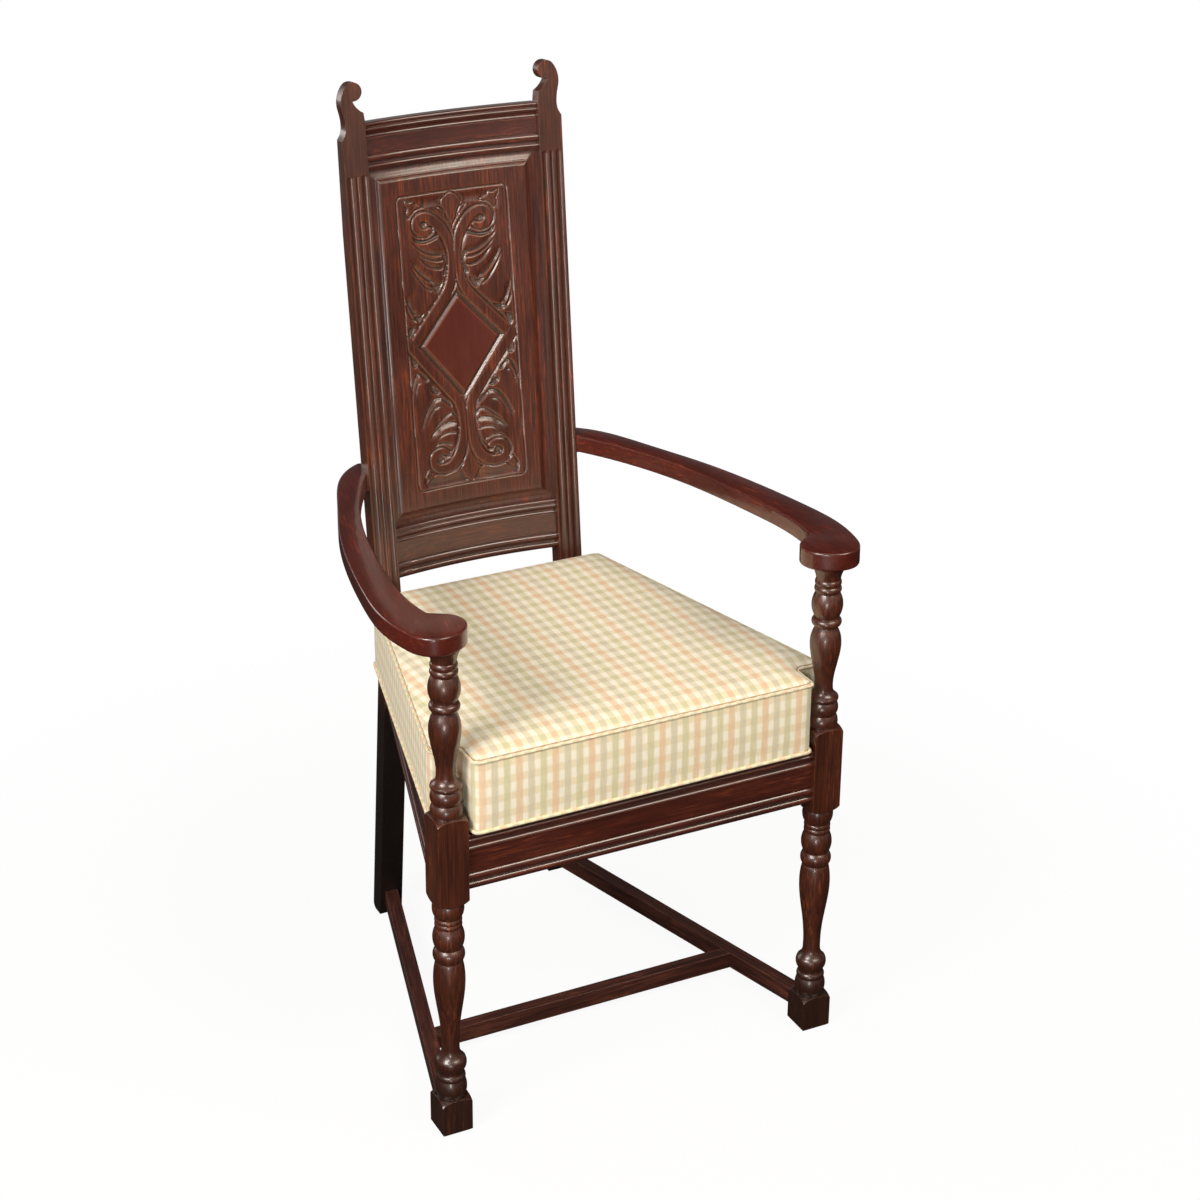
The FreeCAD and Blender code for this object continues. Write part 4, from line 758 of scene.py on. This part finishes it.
def round_outline(points):
    """How far each point lies inside the cushion's outline and how far round it from the front, in metres."""
    ring = np.array([tuple(p) for p in cushion_ring(0.0, 0.012)])
    nexts = np.roll(ring, -1, 0)
    lengths = np.hypot(*(nexts - ring).T)
    run = np.concatenate([[0], np.cumsum(lengths)[:-1]])
    front = np.argmin(np.abs(ring[:, 0]) + np.abs(ring[:, 1] - cushion_front_y))
    best = np.full(len(points), 1e9)
    place = np.zeros(len(points))
    inside = np.zeros(len(points), bool)
    for a, b, length, before in zip(ring, nexts, lengths, run - run[front] + ring[front, 0]):
        t = np.clip(((points - a) @ (b - a)) / length ** 2, 0, 1)
        gap = np.hypot(*(points - a - t[:, None] * (b - a)).T)
        place = np.where(gap < best, before + t * length, place)
        best = np.minimum(best, gap)
        if a[1] != b[1]:
            crosses = (a[1] > points[:, 1]) != (b[1] > points[:, 1])
            inside ^= crosses & (points[:, 0] < a[0] + (points[:, 1] - a[1]) * (b[0] - a[0]) / (b[1] - a[1]))
    whole = lengths.sum()
    return np.where(inside, best, -best), (place + whole / 2) % whole - whole / 2, whole


# The block that the simulation swells: how far in each of its edges lies, and how high.
cushion_levels = (
    (0.0045, cushion_low), (0.0015, seam_low), (0.0015, seam_high), (0.0060, seam_high + 0.0035),
)
pad = bmesh.new()
rings = [[pad.verts.new((p.x, p.y, z)) for p in cushion_ring(inset)] for inset, z in cushion_levels]
fewest = min(len(r) for r in rings)
rings = [[r[round(k * len(r) / fewest) % len(r)] for k in range(fewest)] for r in rings]
for lower_ring, upper_ring in zip(rings, rings[1:]):
    for k in range(fewest):
        n = (k + 1) % fewest
        pad.faces.new((lower_ring[k], lower_ring[n], upper_ring[n], upper_ring[k]))
pad.faces.new(rings[-1])
pad.faces.new(rings[0][::-1])
bmesh.ops.delete(pad, geom=[v for v in pad.verts if not v.link_faces], context="VERTS")
bmesh.ops.triangulate(pad, faces=[f for f in pad.faces if len(f.verts) > 4])
cushion_mesh = bpy.data.meshes.new("box_cushion")
pad.to_mesh(cushion_mesh)
pad.free()
cushion = bpy.data.objects.new("box_cushion", cushion_mesh)
scene.collection.objects.link(cushion)


def applied(thing):
    """The thing's mesh with its modifiers worked in, and the modifiers taken off."""
    result = bpy.data.meshes.new_from_object(thing.evaluated_get(bpy.context.evaluated_depsgraph_get()))
    thing.modifiers.clear()
    thing.data = result
    return result


def points_of(mesh):
    values = np.empty(len(mesh.vertices) * 3)
    mesh.vertices.foreach_get("co", values)
    return values.reshape(-1, 3)


skin_step, seam_band_in, seam_band_up = 0.0055, 0.008, 0.0045
top_swell, side_swell, filled_frames = 0.010, 0.0035, 20
remesh = cushion.modifiers.new("even_skin", "REMESH")
remesh.mode = "VOXEL"
remesh.voxel_size = skin_step
applied(cushion)
start = points_of(cushion.data)
inside_by = round_outline(start[:, :2])[0]
from_seam = np.minimum(np.abs(start[:, 2] - seam_high), np.abs(start[:, 2] - seam_low))
near_seam = (inside_by < seam_band_in) & (from_seam < seam_band_up)
sewn = cushion.vertex_groups.new(name="sewn_seams")
sewn.add([int(i) for i in np.nonzero(near_seam)[0]], 1.0, "REPLACE")
filling = cushion.modifiers.new("filling", "CLOTH")
filling.settings.effector_weights.gravity = 0.0
for setting, value in (
    ("use_pressure", True), ("uniform_pressure_force", 4.0), ("quality", 6), ("mass", 0.3),
    ("tension_stiffness", 18), ("compression_stiffness", 12), ("bending_stiffness", 2.0),
    ("vertex_group_mass", "sewn_seams"),
):
    setattr(filling.settings, setting, value)
filling.collision_settings.use_collision = False
for step in range(1, filled_frames + 1):
    scene.frame_set(step)
applied(cushion)
scene.frame_set(1)
moved = points_of(cushion.data) - start
length = np.maximum(np.linalg.norm(moved, axis=1), 1e-9)
cap = np.where(start[:, 2] > seam_high, top_swell, side_swell)
start = start + moved * np.minimum(1, cap / length)[:, None]

# The crown rises quickly behind the seam and then stays nearly flat, and the front edge is the fullest.
inside_by = round_outline(start[:, :2])[0]
crown_blend, crown_reach, dimple_deep, dimple_reach = 0.0035, 0.017, 0.0007, 0.06
above_seam = np.clip((start[:, 2] - seam_high) / crown_blend, 0, 1)
swell = 1 - np.exp(-np.clip(inside_by, 0, 1) / crown_reach)
dimple = dimple_deep * np.sin(start[:, 0] * 31 + 0.6) * np.sin(start[:, 1] * 27 + start[:, 0] * 9)
crown_line = seam_high + (crown_high - seam_high - 0.0008) * swell
crown_line = crown_line + dimple * np.clip(inside_by / dimple_reach, 0, 1)
start[:, 2] = np.where(above_seam > 0, start[:, 2] * (1 - above_seam) + crown_line * above_seam, start[:, 2])
start[:, 2] = np.clip(start[:, 2], cushion_low, crown_high)
cushion.data.vertices.foreach_set("co", start.ravel())
cushion.data.shade_smooth()
finer = cushion.modifiers.new("finer_skin", "SUBSURF")
finer.levels = finer.render_levels = 1
applied(cushion)

# Where the weave lies: across and along the cloth in metres, from the panel of the cover that a face is in.
skin = cushion.data
places = points_of(skin)
_, place_round, whole_round = round_outline(places[:, :2])
corner_vertex = np.empty(len(skin.loops), int)
skin.loops.foreach_get("vertex_index", corner_vertex)
face_start = np.empty(len(skin.polygons), int)
skin.polygons.foreach_get("loop_start", face_start)
face_corners = np.diff(np.append(face_start, len(skin.loops)))
corner_face = np.repeat(np.arange(len(skin.polygons)), face_corners)
corner_place = places[corner_vertex]
face_height = np.add.reduceat(corner_place[:, 2], face_start) / face_corners
on_boxing = ((face_height < seam_high + 0.0020) & (face_height > seam_low - 0.0004))[corner_face]
first_round = place_round[corner_vertex[face_start]][corner_face]
round_here = place_round[corner_vertex]
round_here = round_here - whole_round * np.round((round_here - first_round) / whole_round)
# The middle of a peach stripe and of a bar, on the boxing and on the top.
side_stripe, top_stripe, side_bar, top_bar = 0.0195, 0.0249, 0.5027, 0.1072
across = np.where(on_boxing, round_here - side_stripe, corner_place[:, 0] - top_stripe)
along = np.where(on_boxing, corner_place[:, 2] - side_bar, corner_place[:, 1] - photo_y - top_bar)
weave = skin.attributes.new("weave", "FLOAT_VECTOR", "CORNER")
weave.data.foreach_set("vector", np.stack([across, along, on_boxing * 1.0], -1).astype(np.float32).ravel())
# The threads are drawn about three times as coarse as they are, so that they show.
stripe_pitch, bar_pitch, thread_pitch = 0.0164, 0.0237, 0.0012
seam_along = seam_high + 0.0008 - side_bar


def woven_check(name, welt=False):
    """Cotton check: peach, grey and sage stripes on cream, crossed by bars, with off-white blocks between."""
    material, tree = new_material(name)
    cloth = add(tree, "ShaderNodeAttribute", {"attribute_name": "weave"})
    wander = add(tree, "ShaderNodeTexNoise", Vector=cloth.outputs["Vector"], Scale=60.0, Detail=2.0)
    slipped = add(
        tree, "ShaderNodeVectorMath", times_plus,
        i0=wander.outputs["Color"], i1=(0.0022, 0.0022, 0.0), i2=cloth.outputs["Vector"],
    )
    parts = add(tree, "ShaderNodeSeparateXYZ", Vector=slipped)
    # Stripes and bars, and the threads of each direction.
    nearest, bands, threads = [], [], []
    for along_or_across, pitch, full, clear in ((0, stripe_pitch, 0.19, 0.35), (1, bar_pitch, 0.16, 0.29)):
        run = parts.outputs[along_or_across]
        cell = add(tree, "ShaderNodeMath", times_plus, i0=run, i1=1 / pitch, i2=300.0)
        nearest.append(add(tree, "ShaderNodeMath", {"operation": "ROUND"}, i0=cell))
        offset = add(tree, "ShaderNodeMath", {"operation": "SUBTRACT"}, i0=cell, i1=nearest[-1])
        gap = add(tree, "ShaderNodeMath", {"operation": "ABSOLUTE"}, i0=offset)
        bands.append(add(
            tree, "ShaderNodeMapRange", smoothly,
            Value=gap, From_Min=full, From_Max=clear, To_Min=1.0, To_Max=0.0,
        ))
        turns = add(tree, "ShaderNodeMath", times, i0=run, i1=2 * math.pi / thread_pitch)
        threads.append(add(tree, "ShaderNodeMath", {"operation": "SINE"}, i0=turns))
    turn = add(tree, "ShaderNodeMath", {"operation": "MODULO"}, i0=nearest[0], i1=3.0)
    is_later, is_last = (
        add(tree, "ShaderNodeMath", {"operation": "GREATER_THAN"}, i0=turn, i1=limit) for limit in (0.5, 1.5)
    )
    # Each stripe's colour between the bars, and where a bar crosses it.
    colours = []
    for peach, grey, sage in (("#f0dcbc", "#e9dfc3", "#e8dfbd"), ("#e8c5a1", "#d4cbb0", "#d3cda5")):
        first = add(tree, "ShaderNodeMix", colour_mix, Factor=is_later, i6=linear(peach), i7=linear(grey))
        colours.append(add(
            tree, "ShaderNodeMix", colour_mix,
            Factor=is_last, i6=first.outputs[2], i7=linear(sage),
        ).outputs[2])
    # On the boxing the stripes show more evenly than on the top, where they are pale between the bars.
    base_share, bar_share = (
        add(tree, "ShaderNodeMapRange", Value=parts.outputs[2], To_Min=on_top, To_Max=on_side)
        for on_top, on_side in ((0.0, 0.42), (0.85, 0.25))
    )
    stripe_share = add(tree, "ShaderNodeMath", times_plus, i0=bands[1], i1=bar_share, i2=base_share)
    striped = add(tree, "ShaderNodeMix", colour_mix, Factor=stripe_share, i6=colours[0], i7=colours[1])
    hatch = add(
        tree, "ShaderNodeMapRange", Value=threads[0], From_Min=-1.0, From_Max=1.0, To_Min=0.0, To_Max=0.55,
    )
    bar_tone = add(
        tree, "ShaderNodeMix", colour_mix,
        Factor=hatch, i6=linear("#f2e6c8"), i7=linear("#ebdcb8"),
    )
    ground = add(
        tree, "ShaderNodeMix", colour_mix,
        Factor=bands[1], i6=linear("#faf4e2"), i7=bar_tone.outputs[2],
    )
    surface = add(
        tree, "ShaderNodeMix", colour_mix,
        Factor=bands[0], i6=ground.outputs[2], i7=striped.outputs[2],
    ).outputs[2]
    if not welt:
        # Where the top is sewn to the boxing, a thin brown line is painted above the welt.
        sewn_at = add(tree, "ShaderNodeSeparateXYZ", Vector=cloth.outputs["Vector"])
        from_seam = add(
            tree, "ShaderNodeMath", {"operation": "SUBTRACT"}, i0=sewn_at.outputs[1], i1=seam_along,
        )
        to_seam = add(tree, "ShaderNodeMath", {"operation": "ABSOLUTE"}, i0=from_seam)
        line = add(
            tree, "ShaderNodeMapRange", Value=to_seam,
            From_Min=0.0004, From_Max=0.0009, To_Min=0.8, To_Max=0.0,
        )
        line_here = add(tree, "ShaderNodeMath", times, i0=line, i1=parts.outputs[2])
        surface = add(
            tree, "ShaderNodeMix", colour_mix, Factor=line_here, i6=surface, i7=linear("#a07a5c"),
        ).outputs[2]
    slub_place = add(tree, "ShaderNodeMapping", Vector=cloth.outputs["Vector"], Scale=(900, 60, 1))
    slub = add(tree, "ShaderNodeTexNoise", Vector=slub_place, Scale=1.0, Detail=3.0)
    slub_value = add(
        tree, "ShaderNodeMapRange", Value=slub, From_Min=0.3, From_Max=0.7, To_Min=0.93, To_Max=1.05,
    )
    coloured = add(tree, "ShaderNodeVectorMath", {"operation": "SCALE"}, i0=surface, Scale=slub_value)
    crossed = add(tree, "ShaderNodeMath", times_plus, i0=threads[0], i1=0.5, i2=threads[1])
    raised = add(tree, "ShaderNodeMath", times_plus, i0=slub, i1=2.0, i2=crossed)
    bump = add(tree, "ShaderNodeBump", Strength=0.35, Distance=0.0002, Height=raised)
    cotton = add(
        tree, "ShaderNodeBsdfPrincipled", Base_Color=coloured, Roughness=0.92, Normal=bump,
        IOR=1.45, Specular_IOR_Level=0.3, Sheen_Weight=0.12, Sheen_Roughness=0.5,
    )
    add(tree, "ShaderNodeOutputMaterial", Surface=cotton)
    return material


check_cloth = woven_check("woven_cotton_check")
skin.materials.clear()
skin.materials.append(check_cloth)
skin.shade_smooth()
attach(cushion, "loose_cushion")
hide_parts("cushion")

# Welts: a cord in a folded strip of the same cloth, sewn into the top and bottom seams all the way round.
welt_tree = bpy.data.node_groups.new("welt", "GeometryNodeTree")
sockets = welt_tree.interface
sockets.new_socket(name="Seam", in_out="INPUT", socket_type="NodeSocketGeometry")
radius_socket = sockets.new_socket(name="Welt radius", in_out="INPUT", socket_type="NodeSocketFloat")
sockets.new_socket(name="Welt", in_out="OUTPUT", socket_type="NodeSocketGeometry")
given = add(welt_tree, "NodeGroupInput")
seam_curve = add(welt_tree, "GeometryNodeMeshToCurve", Mesh=given.outputs["Seam"])
run = add(welt_tree, "GeometryNodeSplineParameter")
kept = add(welt_tree, "GeometryNodeCaptureAttribute", {"domain": "POINT"}, Geometry=seam_curve)
kept.capture_items.new("FLOAT", "Run")
welt_tree.links.new(run.outputs["Length"], kept.inputs["Run"])
profile = add(
    welt_tree, "GeometryNodeCurvePrimitiveCircle", Resolution=10, Radius=given.outputs["Welt radius"],
)
tube = add(welt_tree, "GeometryNodeCurveToMesh", Curve=kept.outputs["Geometry"], Profile_Curve=profile)
run_vector = add(welt_tree, "ShaderNodeCombineXYZ", X=kept.outputs["Run"], Y=0.0, Z=2.0)
stored = add(
    welt_tree, "GeometryNodeStoreNamedAttribute", {"data_type": "FLOAT_VECTOR", "domain": "POINT"},
    Geometry=tube, Name="weave", Value=run_vector,
)
smooth = add(welt_tree, "GeometryNodeSetShadeSmooth", Geometry=stored)
real = add(welt_tree, "GeometryNodeRealizeInstances", Geometry=smooth)
welt_cloth = woven_check("cotton_check_welting", welt=True)
covered = add(welt_tree, "GeometryNodeSetMaterial", Geometry=real, Material=welt_cloth)
result = add(welt_tree, "NodeGroupOutput")
welt_tree.links.new(covered.outputs[0], result.inputs["Welt"])
ring = cushion_ring(0.0012, 0.008)
seam_edges = [(k, (k + 1) % len(ring)) for k in range(len(ring))]
for name, height, radius in (
    ("top_welt", seam_high - 0.0014, 0.0018), ("bottom_welt", seam_low - 0.0008, 0.0024),
):
    seam_mesh = bpy.data.meshes.new(name)
    seam_mesh.from_pydata([(p.x, p.y, height) for p in ring], seam_edges, [])
    welt = bpy.data.objects.new(name, seam_mesh)
    scene.collection.objects.link(welt)
    around = welt.modifiers.new("welt", "NODES")
    around.node_group = welt_tree
    around[radius_socket.identifier] = radius
    applied(welt)
    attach(welt, "loose_cushion")
